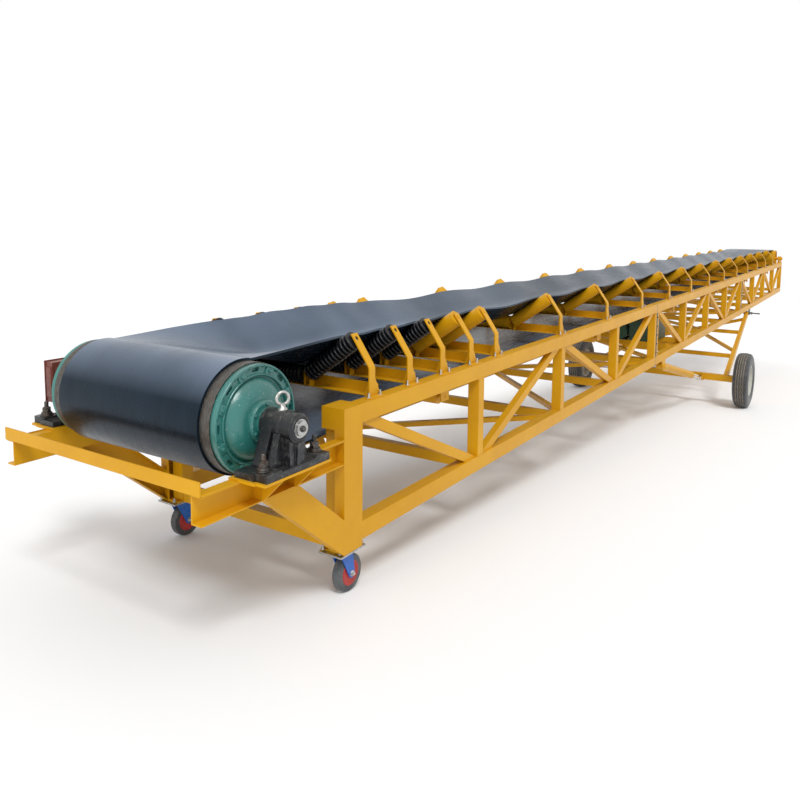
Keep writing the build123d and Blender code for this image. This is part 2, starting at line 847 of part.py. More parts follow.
with BuildPart() as head_blocks:
    for side_name, side in SIDES:
        block_mid = side * (half_width - chord_width / 2)
        with BuildSketch(xz_plane(block_mid)):
            with Locations((head_axis_x, head_axis_z)):
                Circle(head_block_radius)
            with Locations((head_axis_x, chord_top + 12)):
                Rectangle(head_block_length, 24)
            with Locations((head_axis_x, (head_axis_z + chord_top) / 2)):
                Rectangle(head_block_radius * 2, head_axis_z - chord_top)
        extrude(amount=head_block_width / 2, both=True)
        with BuildSketch(head_plane):
            Circle(head_shaft_radius + fit)
        extrude(amount=half_width + 30, both=True, mode=Mode.SUBTRACT)
keep(head_blocks, "head_bearing_blocks")

# Hydraulic unit: tank, motor and the platform under them
with BuildPart() as unit_platform:
    for x in (unit_x + platform_beam / 2, unit_x + unit_length - platform_beam / 2):
        block(
            x - platform_beam / 2,
            x + platform_beam / 2,
            -chord_inner,
            chord_inner,
            cross_height,
            cross_height + platform_beam,
        )
keep(unit_platform, "unit_platform")

unit_floor = cross_height + platform_beam
with BuildPart() as hydraulic_tank:
    tank_end = unit_x + unit_length
    block(unit_x, tank_end, unit_y, unit_y + tank_width, unit_floor, unit_floor + tank_height)
    fillet(hydraulic_tank.edges().filter_by(Axis.Z), 20)
keep(hydraulic_tank, "hydraulic_tank")

with BuildPart() as hydraulic_motor:
    motor_y = unit_y + tank_width + motor_radius + 30
    motor_z = unit_floor + motor_foot + motor_radius
    with BuildSketch(yz_plane(unit_x)):
        with Locations((motor_y, motor_z)):
            Circle(motor_radius)
            Rectangle(motor_radius, motor_radius, align=(Align.CENTER, Align.MAX))
        with Locations((motor_y, unit_floor + motor_foot / 2)):
            Rectangle(motor_radius * 1.9, motor_foot)
    extrude(amount=motor_length)
    with BuildSketch(yz_plane(unit_x + motor_length)):
        with Locations((motor_y, motor_z)):
            Circle(pump_radius)
    extrude(amount=pump_length)
    with BuildSketch(yz_plane(unit_x + motor_length + pump_length)):
        with Locations((motor_y, motor_z)):
            Circle(pump_radius * 1.3)
        with Locations((motor_y, (motor_z + unit_floor) / 2)):
            Rectangle(pump_radius * 2, motor_z - unit_floor)
    extrude(amount=unit_length - motor_length - pump_length)
keep(hydraulic_motor, "hydraulic_motor")

# Pivot brackets of the stand and pin brackets of the cylinders, under the bottom chords
chord_mid = half_width - chord_width / 2


def clevis(x, z, y, gap, radius, top):
    """Top plate and two ears with a cross pin, hung below a chord."""
    with BuildSketch(Plane.XY.offset(top - ear_plate)) as profile:
        with Locations((x, y)):
            Rectangle(radius * 4, gap + 2 * ear_thickness)
    extrude(profile.sketch, amount=ear_plate)
    for ear_y in (y - gap / 2 - ear_thickness / 2, y + gap / 2 + ear_thickness / 2):
        with BuildSketch(xz_plane(ear_y)) as profile:
            with Locations((x, z)):
                Circle(radius)
            with Locations((x, top - ear_plate - 1)):
                Rectangle(radius * 3.4, 2)
            make_hull()
        extrude(profile.sketch, amount=ear_thickness / 2, both=True)
    with BuildSketch(xz_plane(y)) as profile:
        with Locations((x, z)):
            Circle(pin_radius)
    extrude(profile.sketch, amount=gap / 2 + ear_thickness + 14, both=True)


with BuildPart() as pivot_brackets:
    for side_name, side in SIDES:
        clevis(pivot_x, pivot_z, side * chord_mid, ear_gap, ear_radius, 0)
keep(pivot_brackets, "stand_pivot_brackets")

with BuildPart() as cylinder_brackets:
    for side_name, side in SIDES:
        clevis(cylinder_pin_x, cylinder_pin_z, side * chord_mid, cylinder_ear_gap, ear_radius, 0)
keep(cylinder_brackets, "cylinder_brackets")

# Stand: legs with their eyes, axle beam, cross bars and braces
leg_top = Vector(pivot_x, chord_mid, pivot_z)
leg_foot = Vector(axle_x, leg_foot_y, axle_z)


def between(start, end, width, height):
    """Solid bar between two points, its height in the upright plane."""
    run = end - start
    across = Vector(0, 0, 1).cross(run).normalized()
    with BuildSketch(Plane(origin=start, x_dir=across, z_dir=run)) as profile:
        Rectangle(width, height)
    extrude(profile.sketch, amount=run.length)


with BuildPart() as stand_legs:
    for side_name, side in SIDES:
        top = Vector(leg_top.X, side * leg_top.Y, leg_top.Z)
        foot = Vector(leg_foot.X, side * leg_foot.Y, leg_foot.Z)
        start = top + (foot - top).normalized() * (pin_radius + 8)
        between(start, foot, leg_width, leg_height)
        with BuildSketch(xz_plane(side * chord_mid)):
            with Locations((pivot_x, pivot_z)):
                Circle(eye_radius)
        extrude(amount=eye_width / 2, both=True)
        with BuildSketch(xz_plane(side * chord_mid)):
            with Locations((pivot_x, pivot_z)):
                Circle(pin_radius + pin_play)
        extrude(amount=eye_width, both=True, mode=Mode.SUBTRACT)
    wheel_gap = wheel_y - rim_width / 2
    beam_half = wheel_gap - 60
    block(
        axle_x - axle_beam / 2,
        axle_x + axle_beam / 2,
        -beam_half,
        beam_half,
        axle_z - axle_beam / 2,
        axle_z + axle_beam / 2,
    )
    with BuildSketch(xz_plane(0)):
        with Locations((axle_x, axle_z)):
            Circle(axle_stub_radius)
    extrude(amount=wheel_y + 40, both=True)
    for share in (0.36, 0.72):
        right = Vector(leg_top.X, -leg_top.Y, leg_top.Z)
        right_foot = Vector(leg_foot.X, -leg_foot.Y, leg_foot.Z)
        point = right + (right_foot - right) * share
        across = Vector(point.X, -point.Y, point.Z)
        between(point, across, 60, 60)
    for side_name, side in SIDES:
        lug_y = side * chord_mid
        for ear_side in (-1, 1):
            ear_y = lug_y + ear_side * (cylinder_ear_gap + ear_thickness) / 2
            with BuildSketch(xz_plane(ear_y)):
                with Locations((cylinder_rod_pin_x, axle_z)):
                    Circle(cylinder_eye_radius)
                with Locations((axle_x - axle_beam / 2 + 1, axle_z)):
                    Rectangle(2, axle_beam)
                make_hull()
            extrude(amount=ear_thickness / 2, both=True)
            head_y = lug_y + ear_side * (cylinder_ear_gap / 2 + ear_thickness + pin_head / 2)
            with BuildSketch(xz_plane(head_y)):
                with Locations((cylinder_rod_pin_x, axle_z)):
                    Circle(pin_radius)
            extrude(amount=pin_head / 2, both=True)
keep(stand_legs, "stand_frame")

# Road wheels
for side_name, side in SIDES:
    hub_plane = Plane(
        origin=(axle_x, side * wheel_y, axle_z),
        x_dir=(1, 0, 0),
        z_dir=(0, side, 0),
    )
    with BuildPart() as tyre:
        tyre_profile = Plane(
            origin=(axle_x, side * wheel_y, axle_z), x_dir=(1, 0, 0), z_dir=(0, 0, 1)
        )
        with BuildSketch(tyre_profile):
            with BuildLine():
                half = tyre_width / 2
                bead = rim_width / 2
                Polyline(
                    (rim_radius, bead),
                    (rim_radius, -bead),
                )
                Spline(
                    (rim_radius, -bead),
                    (rim_radius + 70, -half),
                    (tyre_radius - 40, -half + 8),
                    (tyre_radius - 14, -half + 32),
                )
                ThreePointArc(
                    (tyre_radius - 14, -half + 32), (tyre_radius, 0), (tyre_radius - 14, half - 32)
                )
                Spline(
                    (tyre_radius - 14, half - 32),
                    (tyre_radius - 40, half - 8),
                    (rim_radius + 70, half),
                    (rim_radius, bead),
                )
            make_face()
        revolve(axis=Axis((axle_x, 0, axle_z), (0, 1, 0)))
    keep(tyre, f"tyre_{side_name}")

    with BuildPart() as rim:
        with BuildSketch(hub_plane.offset(-rim_width / 2)):
            Circle(rim_radius - fit)
            Circle(rim_radius - 14, mode=Mode.SUBTRACT)
        extrude(amount=rim_width)
        with BuildSketch(hub_plane.offset(10)):
            Circle(rim_radius - 8)
        extrude(amount=12)
        with BuildSketch(hub_plane.offset(-50)):
            Circle(hub_radius)
        extrude(amount=110)
        with BuildSketch(hub_plane.offset(-60)):
            Circle(axle_stub_radius + pin_play)
        extrude(amount=102, mode=Mode.SUBTRACT)
    keep(rim, f"rim_{side_name}")

# Lifting cylinders: barrel hinged on the boom, rod eye on the stand
rod_run = Vector(cylinder_rod_pin_x - cylinder_pin_x, 0, axle_z - cylinder_pin_z)
rod_dir = rod_run.normalized()
for side_name, side in SIDES:
    pin_point = Vector(cylinder_pin_x, side * chord_mid, cylinder_pin_z)
    rod_point = Vector(cylinder_rod_pin_x, side * chord_mid, axle_z)
    cylinder_plane = Plane(origin=pin_point, x_dir=(0, 1, 0), z_dir=rod_dir)
    barrel_start = 60
    with BuildPart() as barrel:
        with BuildSketch(cylinder_plane.offset(barrel_start)):
            Circle(barrel_radius)
        extrude(amount=barrel_length)
        with BuildSketch(cylinder_plane):
            Rectangle(cylinder_eye_width - 10, cylinder_eye_radius * 1.4)
        extrude(amount=barrel_start)
        with BuildSketch(xz_plane(pin_point.Y)):
            with Locations((pin_point.X, pin_point.Z)):
                Circle(cylinder_eye_radius)
        extrude(amount=cylinder_eye_width / 2, both=True)
        with BuildSketch(xz_plane(pin_point.Y)):
            with Locations((pin_point.X, pin_point.Z)):
                Circle(pin_radius + pin_play)
        extrude(amount=cylinder_eye_width, both=True, mode=Mode.SUBTRACT)
        with BuildSketch(cylinder_plane.offset(barrel_start + barrel_length)):
            Circle(rod_radius + fit)
        extrude(amount=-(rod_stroke + 200), mode=Mode.SUBTRACT)
    keep(barrel, f"cylinder_barrel_{side_name}")

    rod_plane = Plane(origin=rod_point, x_dir=(0, 1, 0), z_dir=-rod_dir)
    rod_length = rod_run.length - barrel_start - barrel_length + rod_stroke + 150
    with BuildPart() as rod:
        with BuildSketch(rod_plane.offset(rod_neck)):
            Circle(rod_radius)
        extrude(amount=rod_length - rod_neck)
        with BuildSketch(rod_plane):
            Circle(cylinder_eye_width / 2 - 2)
        extrude(amount=rod_neck)
        with BuildSketch(xz_plane(rod_point.Y)):
            with Locations((rod_point.X, rod_point.Z)):
                Circle(cylinder_eye_radius)
        extrude(amount=cylinder_eye_width / 2, both=True)
    keep(rod, f"cylinder_rod_{side_name}")

# Casters under the end posts
caster_seat = -end_post_drop
caster_y = half_width - end_block_width / 2
with BuildPart() as caster_plates:
    for side_name, side in SIDES:
        with BuildSketch(Plane.XY.offset(caster_seat - caster_plate_thickness)):
            with Locations((caster_x, side * caster_y)):
                Rectangle(caster_plate_size + 60, caster_plate_size)
        extrude(amount=caster_plate_thickness)
        with BuildSketch(Plane.XY.offset(caster_seat - caster_plate_thickness)):
            with Locations((caster_x, side * caster_y)):
                Circle(10)
        extrude(amount=-30)
keep(caster_plates, "caster_plates")

fork_top = caster_seat - caster_plate_thickness - 6
for side_name, side in SIDES:
    with BuildPart() as fork:
        with BuildSketch(Plane.XY.offset(fork_top - 14)):
            with Locations((caster_x, side * caster_y)):
                Circle(46)
                Circle(10 + pin_play, mode=Mode.SUBTRACT)
        extrude(amount=14)
        with BuildSketch(Plane.XY.offset(fork_top - 20)):
            with Locations((caster_x, side * caster_y)):
                Rectangle(92, fork_gap + 2 * fork_plate)
                Circle(16, mode=Mode.SUBTRACT)
        extrude(amount=6)
        for plate_side in (-1, 1):
            plate_y = side * caster_y + plate_side * (fork_gap + fork_plate) / 2
            with BuildSketch(xz_plane(plate_y)):
                with Locations((caster_x, fork_top - 17)):
                    Rectangle(92, 6)
                with Locations((caster_wheel_x, caster_wheel_z)):
                    Circle(24)
                make_hull()
            extrude(amount=fork_plate / 2, both=True)
        with BuildSketch(xz_plane(side * caster_y)):
            with Locations((caster_wheel_x, caster_wheel_z)):
                Circle(8)
        extrude(amount=fork_gap / 2 + fork_plate + 10, both=True)
    keep(fork, f"caster_fork_{side_name}")

    with BuildPart() as caster_wheel:
        with BuildSketch(xz_plane(side * caster_y)):
            with Locations((caster_wheel_x, caster_wheel_z)):
                Circle(caster_radius)
                Circle(8 + pin_play, mode=Mode.SUBTRACT)
        extrude(amount=caster_width / 2, both=True)
        fillet(caster_wheel.edges().filter_by(GeomType.CIRCLE).group_by(SortBy.RADIUS)[-1], 10)
    keep(caster_wheel, f"caster_wheel_{side_name}")

# The boom as it parks: tilted about Y, the floor at Z = 0, X measured from the middle
rise = caster_radius - caster_wheel_x * math.sin(tilt) - caster_wheel_z * math.cos(tilt)
tail_corner = (-arm_reach - beam_wall) * math.cos(tilt) - (arm_top + beam_leg) * math.sin(tilt)
belt_end = head_axis_x * math.cos(tilt) - head_axis_z * math.sin(tilt) + outer_h
head_corner = max(belt_end, boom_length * math.cos(tilt))
parked = Location((-(tail_corner + head_corner) / 2, 0, rise), (0, -ground_tilt, 0))
for piece in pieces:
    label = piece.part.label
    placed = piece.part.moved(parked)
    placed.label = label
    export_step(placed, f"parts/{label}.step")
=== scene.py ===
"""Looks of the mobile belt conveyor: materials, belt, small fasteners, light and camera.

Lengths are metres. Points are given in the boom's own frame, where X runs up the boom from the
tail face of the end posts, Y points to the left side and Z stands square on the boom from the
underside of the bottom chords. `boom` turns such a point into the row frame.
"""
import json
import math
import random

import bmesh
import bpy
from mathutils import Matrix, Vector


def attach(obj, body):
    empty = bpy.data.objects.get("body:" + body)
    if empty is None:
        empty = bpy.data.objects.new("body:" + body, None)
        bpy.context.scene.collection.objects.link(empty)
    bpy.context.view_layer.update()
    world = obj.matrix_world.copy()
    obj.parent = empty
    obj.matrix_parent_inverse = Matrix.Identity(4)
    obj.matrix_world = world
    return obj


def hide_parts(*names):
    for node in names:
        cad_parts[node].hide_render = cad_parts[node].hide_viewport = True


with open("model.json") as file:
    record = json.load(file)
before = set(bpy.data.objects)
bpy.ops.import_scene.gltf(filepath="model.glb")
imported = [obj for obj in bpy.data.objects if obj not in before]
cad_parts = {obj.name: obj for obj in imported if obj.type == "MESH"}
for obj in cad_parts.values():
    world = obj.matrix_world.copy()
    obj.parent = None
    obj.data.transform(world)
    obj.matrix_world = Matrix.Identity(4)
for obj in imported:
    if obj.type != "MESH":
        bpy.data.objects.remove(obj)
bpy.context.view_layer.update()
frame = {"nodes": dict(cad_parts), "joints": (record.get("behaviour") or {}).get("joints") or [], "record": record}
nodes = frame["nodes"]
random.seed(7)

# Boom frame, found from the stand's pivot
TILT = math.radians(4.9)
PIVOT = Vector((13.05, 0.0, -0.07))
joint = {row["name"]: row for row in frame["joints"]}
turn = Matrix.Rotation(-TILT, 4, "Y")
boom = Matrix.Translation(Vector(joint["stand_pivot"]["pos_m"]) - turn @ PIVOT) @ turn
boom_inverse = boom.inverted()

# Directions and sides
UP = (0, 0, 1)
WAYS = (-1, 1)
SIDES = (("right", -1), ("left", 1))

# Sizes shared with the solids
HALF_WIDTH = 0.7
CHORD_WIDTH = 0.08
CHORD_HEIGHT = 0.098
CHORD_TOP = 0.725
SECTION_JOINTS = (6.0, 12.0)
DRUM_X, DRUM_Z, DRUM_R = -0.5, 0.77, 0.256
HEAD_X, HEAD_Z, HEAD_R = 17.85, 0.826, 0.2
BELT_HALF = 0.5
BELT_THICK = 0.012
BELT_GAP = 0.0003
ROLLER_R = 0.054
ROLLER_L = 0.38
TROUGH = math.radians(35)
CENTRE_Z = 0.797
WING_Y = 0.226
WING_Z = CENTRE_Z + ROLLER_R - ROLLER_R * math.cos(TROUGH)
IDLER_PITCH = 1.233
IDLER_X = [0.305 + 0.377 * i for i in range(5)]
IDLER_X += [IDLER_X[-1] + IDLER_PITCH * (i + 1) for i in range(12)]
RETURN_PITCH = 3.0
RETURN_X = [1.15 + RETURN_PITCH * i for i in range(6)]
RETURN_Z = HEAD_Z - HEAD_R - BELT_THICK - 2 * BELT_GAP - ROLLER_R
BEARING_Y = 0.717
BEARING_SEAT = 0.578


# Pieces and meshes


def add(name, body, material, slot, fill, *given, smooth=30):
    """Adds a piece on a body, with its material. `slot` is not used.

    `fill` builds its mesh, which is shaded smooth up to an angle in degrees.
    """
    builder = bmesh.new()
    fill(builder, *given)
    mesh = bpy.data.meshes.new(name)
    builder.normal_update()
    builder.to_mesh(mesh)
    builder.free()
    for face in mesh.polygons:
        face.use_smooth = True
    mesh.set_sharp_from_angle(angle=math.radians(smooth))
    mesh.materials.append(material)
    piece = bpy.data.objects.new(name, mesh)
    bpy.context.scene.collection.objects.link(piece)
    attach(piece, body)
    return piece


def frame_along(point, axis, spin=0.0):
    """Matrix that puts a piece's Z along an axis at a point of the boom frame."""
    quarter = Vector(axis).normalized().to_track_quat("Z", "Y").to_matrix().to_4x4()
    return boom @ Matrix.Translation(Vector(point)) @ quarter @ Matrix.Rotation(spin, 4, "Z")


def joint_point(name):
    """Place of a joint in the boom frame."""
    return boom_inverse @ Vector(joint[name]["pos_m"])


def mirrored(value):
    return (-value, value)


def turns(count, share=0.0):
    """Angles spread evenly over a full turn, the first one a share of a step on."""
    return [math.tau * (i + share) / count for i in range(count)]


def circle(radius, angle, height=0.0):
    """Point at a radius and an angle about Z."""
    return Vector((radius * math.cos(angle), radius * math.sin(angle), height))


def upright_circle(radius, angle):
    """Point at a radius and an angle about Y."""
    return Vector((math.cos(angle), 0, math.sin(angle))) * radius


def bridged(builder, low, high):
    """Faces between two rings of as many points."""
    made = []
    for i in range(len(low)):
        k = (i + 1) % len(low)
        made.append(builder.faces.new((low[i], high[i], high[k], low[k])))
    return made


def revolve(builder, profile, steps, matrix):
    """Turns (radius, height) pairs about Z. A radius of 0 closes the end."""
    rings = []
    for radius, height in profile:
        if radius == 0:
            rings.append([builder.verts.new(matrix @ Vector((0, 0, height)))])
            continue
        points = [circle(radius, angle, height) for angle in turns(steps)]
        rings.append([builder.verts.new(matrix @ point) for point in points])
    for low, high in zip(rings, rings[1:]):
        if len(low) == len(high) == steps:
            bridged(builder, low, high)
            continue
        for i in range(steps):
            k = (i + 1) % steps
            if len(high) == steps:
                builder.faces.new((low[0], high[i], high[k]))
            elif len(low) == steps:
                builder.faces.new((low[i], high[0], low[k]))


def box(builder, matrix, size, bevel):
    """Box centred on a matrix, its edges bevelled."""
    made = bmesh.ops.create_cube(builder, size=1.0, matrix=matrix @ Matrix.Diagonal((*size, 1)))
    sharp = dict.fromkeys(edge for corner in made["verts"] for edge in corner.link_edges)
    bmesh.ops.bevel(
        builder, geom=list(sharp), offset=bevel, segments=2, profile=0.7, affect="EDGES"
    )


def prism(builder, outline, across, start, end):
    """Flat outline pushed along one axis of the boom, its two other coordinates in order."""
    order = {"X": (1, 2, 0), "Y": (0, 2, 1)}[across]
    rings = []
    for reach in (start, end):
        ring = []
        for first, second in outline:
            point = [0.0, 0.0, 0.0]
            for place, value in zip(order, (first, second, reach)):
                point[place] = value
            ring.append(builder.verts.new(boom @ Vector(point)))
        rings.append(ring)
    made = [builder.faces.new(ring) for ring in rings]
    made += bridged(builder, *rings)
    bmesh.ops.recalc_face_normals(builder, faces=made)


def slab(builder, side, x_range, y_range, z_range):
    """Plate square to the boom, its Y range counted outward on one side."""
    (back, front), (low, high) = x_range, z_range
    outline = [(back, low), (front, low), (front, high), (back, high)]
    prism(builder, outline, "Y", side * y_range[0], side * y_range[1])


def bar(builder, start, end, width, height):
    """Square bar between two points of the boom frame."""
    run = end - start
    box(builder, frame_along((start + end) / 2, run), (width, height, run.length), 0.002)


def torus(builder, matrix, radius, wire, steps, wire_steps):
    """Round wire bent to a ring about Z."""
    rings = []
    for angle in turns(steps):
        ring = []
        for around in turns(wire_steps):
            point = circle(radius + wire * math.cos(around), angle, wire * math.sin(around))
            ring.append(builder.verts.new(matrix @ point))
        rings.append(ring)
    for low, high in zip(rings, rings[1:] + rings[:1]):
        bridged(builder, low, high)


def bolt(builder, point, axis, size, length=0.0, washer=True):
    """Hex bolt head with its washer, or a nut with a stud end where length is positive."""
    matrix = frame_along(point, axis, random.uniform(0, math.tau))
    across = size * 0.92
    height = size * 0.7
    base = 0.0
    if washer:
        base = size * 0.18
        rim = size * 1.15
        revolve(builder, [(0, 0), (rim, 0), (rim, base), (0, base)], 16, matrix)
    top = base + height
    head = [(across, base), (across, base + height * 0.86), (across * 0.84, top), (0, top)]
    revolve(builder, head, 6, matrix)
    if not length:
        return
    tip = top + length
    radius = size * 0.5
    threads = max(2, int(length / (size * 0.22)))
    profile = [(radius, base + height * 0.9)]
    for i in range(threads):
        crest = top + length * (i + 0.5) / threads
        profile += [(radius * 0.88, crest - length / threads * 0.25), (radius, crest)]
    profile += [(radius * 0.8, tip), (0, tip + size * 0.05)]
    revolve(builder, profile, 10, matrix)


# Shader nodes

SETTLED_DUST = (0.42, 0.38, 0.31, 1)
RUBBER_DUST = (0.2, 0.19, 0.17, 1)
RUST = (0.16, 0.07, 0.03, 1)


def node_tree(name):
    material = bpy.data.materials.new(name)
    material.use_nodes = True
    tree = material.node_tree
    return material, tree, tree.nodes["Principled BSDF"]


def feed(tree, value, socket):
    """Links an output to an input, or sets the input to a plain value."""
    if isinstance(value, bpy.types.NodeSocket):
        tree.links.new(value, socket)
    else:
        socket.default_value = value


def noise(tree, scale, detail, roughness, stretch=None):
    """Noise on the piece's own coordinates, stretched along an axis if asked."""
    coordinates = tree.nodes.new("ShaderNodeTexCoord")
    texture = tree.nodes.new("ShaderNodeTexNoise")
    texture.inputs["Scale"].default_value = scale
    texture.inputs["Detail"].default_value = detail
    texture.inputs["Roughness"].default_value = roughness
    socket = coordinates.outputs["Object"]
    if stretch:
        mapping = tree.nodes.new("ShaderNodeMapping")
        mapping.inputs["Scale"].default_value = stretch
        tree.links.new(socket, mapping.inputs["Vector"])
        socket = mapping.outputs["Vector"]
    tree.links.new(socket, texture.inputs["Vector"])
    return texture.outputs["Fac"]


def ramp(tree, fac, low, high):
    """Black up to one value, white from another."""
    node = tree.nodes.new("ShaderNodeValToRGB")
    dark, light = node.color_ramp.elements
    dark.position, dark.color = low, (0, 0, 0, 1)
    light.position, light.color = high, (1, 1, 1, 1)
    tree.links.new(fac, node.inputs["Fac"])
    return node.outputs["Color"]


def mixed(tree, fac, first, second):
    """Colour mix of two colours or sockets."""
    node = tree.nodes.new("ShaderNodeMix")
    node.data_type = "RGBA"
    feed(tree, fac, node.inputs[0])
    feed(tree, first, node.inputs[6])
    feed(tree, second, node.inputs[7])
    return node.outputs[2]


def combined(tree, operation, first, second):
    """Math node on two numbers or sockets."""
    node = tree.nodes.new("ShaderNodeMath")
    node.operation = operation
    feed(tree, first, node.inputs[0])
    feed(tree, second, node.inputs[1])
    return node.outputs[0]


def product(tree, first, second):
    return combined(tree, "MULTIPLY", first, second)


def part_of(tree, vector, axis):
    """One coordinate of a vector output."""
    split = tree.nodes.new("ShaderNodeSeparateXYZ")
    tree.links.new(vector, split.inputs["Vector"])
    return split.outputs[axis]


def upward(tree):
    """How much a surface faces up, from 0 to 1."""
    geometry = tree.nodes.new("ShaderNodeNewGeometry")
    return ramp(tree, part_of(tree, geometry.outputs["Normal"], "Z"), 0.3, 0.95)


def fading(tree, start, end, low):
    """1 up to one place along the piece's own X, easing to a lower value at another."""
    coordinates = tree.nodes.new("ShaderNodeTexCoord")
    change = tree.nodes.new("ShaderNodeMapRange")
    change.inputs["From Min"].default_value = start
    change.inputs["From Max"].default_value = end
    change.inputs["To Min"].default_value = 1.0
    change.inputs["To Max"].default_value = low
    tree.links.new(part_of(tree, coordinates.outputs["Object"], "X"), change.inputs["Value"])
    return change.outputs["Result"]


def edges(tree):
    """Raised edges, where paint wears first."""
    geometry = tree.nodes.new("ShaderNodeNewGeometry")
    return ramp(tree, geometry.outputs["Pointiness"], 0.52, 0.62)


def uneven_roughness(tree, shader, pattern, low, high):
    """Roughness that goes between two values with a noise pattern."""
    smooth, rough = ((value, value, value, 1) for value in (low, min(1, high)))
    between = mixed(tree, ramp(tree, pattern, 0.35, 0.7), smooth, rough)
    tree.links.new(between, shader.inputs["Roughness"])


def bumped(tree, shader, height, strength, distance, rounding=0.0):
    """Fine relief, on edges that are rounded to a radius in the shading."""
    bump = tree.nodes.new("ShaderNodeBump")
    bump.inputs["Strength"].default_value = strength
    bump.inputs["Distance"].default_value = distance
    tree.links.new(height, bump.inputs["Height"])
    if rounding:
        bevel = tree.nodes.new("ShaderNodeBevel")
        bevel.samples = 4
        bevel.inputs["Radius"].default_value = rounding
        tree.links.new(bevel.outputs["Normal"], bump.inputs["Normal"])
    tree.links.new(bump.outputs["Normal"], shader.inputs["Normal"])


# Materials


def painted(name, colour, shade, worn, roughness, dust, wear, cast=0.0, stains=0.25, gloss=0.5):
    """Brushed or cast part under paint: uneven tone, dust on top, wear at the edges."""
    material, tree, shader = node_tree(name)
    tone = ramp(tree, noise(tree, 2.2, 5, 0.6), 0.36, 0.68)
    base = mixed(tree, tone, (*shade, 1), (*colour, 1))
    specks = ramp(tree, noise(tree, 60, 3, 0.6), 0.62, 0.7)
    base = mixed(tree, product(tree, specks, stains), base, (*worn, 1))
    dusty = product(tree, upward(tree), ramp(tree, noise(tree, 9, 6, 0.7), 0.4, 0.75))
    base = mixed(tree, product(tree, dusty, dust), base, SETTLED_DUST)
    scraped = product(tree, edges(tree), ramp(tree, noise(tree, 35, 5, 0.7), 0.5, 0.66))
    base = mixed(tree, product(tree, scraped, wear), base, (*worn, 1))
    tree.links.new(base, shader.inputs["Base Color"])
    pattern = noise(tree, 14, 5, 0.65)
    uneven_roughness(tree, shader, pattern, roughness * 0.9, roughness * 1.2)
    shader.inputs["Specular IOR Level"].default_value = gloss
    if cast:
        bumped(tree, shader, noise(tree, 130, 4, 0.6), cast, 0.0015, 0.003)
    else:
        bumped(tree, shader, noise(tree, 220, 3, 0.5), 0.05, 0.001, 0.0025)
    return material


def metal(name, colour, dark, roughness, stretch=None, rust=0.0):
    """Bare metal with tool marks and, if asked, spots of rust."""
    material, tree, shader = node_tree(name)
    tone = ramp(tree, noise(tree, 40, 5, 0.6, stretch), 0.35, 0.7)
    base = mixed(tree, tone, (*dark, 1), (*colour, 1))
    if rust:
        spots = ramp(tree, noise(tree, 18, 6, 0.7), 0.5, 0.68)
        base = mixed(tree, product(tree, spots, rust), base, RUST)
    tree.links.new(base, shader.inputs["Base Color"])
    shader.inputs["Metallic"].default_value = 1.0
    pattern = noise(tree, 70, 5, 0.6, stretch)
    uneven_roughness(tree, shader, pattern, roughness * 0.7, roughness * 1.6)
    bumped(tree, shader, noise(tree, 180, 4, 0.6, stretch), 0.08, 0.001, 0.0015)
    return material


def rubber(name, colour, light, roughness, dust, sheen=0.0):
    """Moulded rubber with rubbed and dusty places."""
    material, tree, shader = node_tree(name)
    tone = ramp(tree, noise(tree, 5, 6, 0.65), 0.35, 0.7)
    base = mixed(tree, tone, (*colour, 1), (*light, 1))
    dusty = ramp(tree, noise(tree, 24, 6, 0.75), 0.5, 0.8)
    base = mixed(tree, product(tree, dusty, dust), base, RUBBER_DUST)
    tree.links.new(base, shader.inputs["Base Color"])
    pattern = noise(tree, 11, 5, 0.6)
    uneven_roughness(tree, shader, pattern, roughness * 0.8, roughness * 1.35)
    shader.inputs["Sheen Weight"].default_value = sheen
    bumped(tree, shader, noise(tree, 260, 4, 0.6), 0.1, 0.001)
    return material


def belt_cover():
    """Smooth dark rubber with faint streaks along the run, and a painted blue-grey sky reflection on its upward
    faces, weaker further along the run.
    """
    material, tree, shader = node_tree("belt_rubber")
    streaks = ramp(tree, noise(tree, 3.2, 6, 0.6, (0.25, 3.5, 1.0)), 0.35, 0.7)
    base = mixed(tree, streaks, (0.004, 0.009, 0.015, 1), (0.008, 0.015, 0.025, 1))
    scuffs = ramp(tree, noise(tree, 26, 7, 0.75, (0.4, 1.6, 1.0)), 0.58, 0.74)
    base = mixed(tree, product(tree, scuffs, 0.12), base, (0.07, 0.09, 0.12, 1))
    # Painted reflection: a blue-grey colour stands in for the sky's reflection on the belt's upward faces, and
    # fades to a weaker share further along X.
    painted_sky_reflection = product(tree, upward(tree), ramp(tree, noise(tree, 1.1, 3, 0.5), 0.05, 0.75))
    painted_sky_reflection = product(tree, painted_sky_reflection, fading(tree, -9.0, -4.5, 0.42))
    base = mixed(tree, product(tree, painted_sky_reflection, 0.95), base, (0.2, 0.252, 0.34, 1))
    tree.links.new(base, shader.inputs["Base Color"])
    uneven_roughness(tree, shader, noise(tree, 7, 6, 0.7, (0.4, 2.0, 1.0)), 0.24, 0.33)
    shader.inputs["Specular Tint"].default_value = (0.5, 0.74, 1.0, 1)
    shader.inputs["Specular IOR Level"].default_value = 0.22
    bumped(tree, shader, noise(tree, 60, 3, 0.5), 0.018, 0.001)
    return material


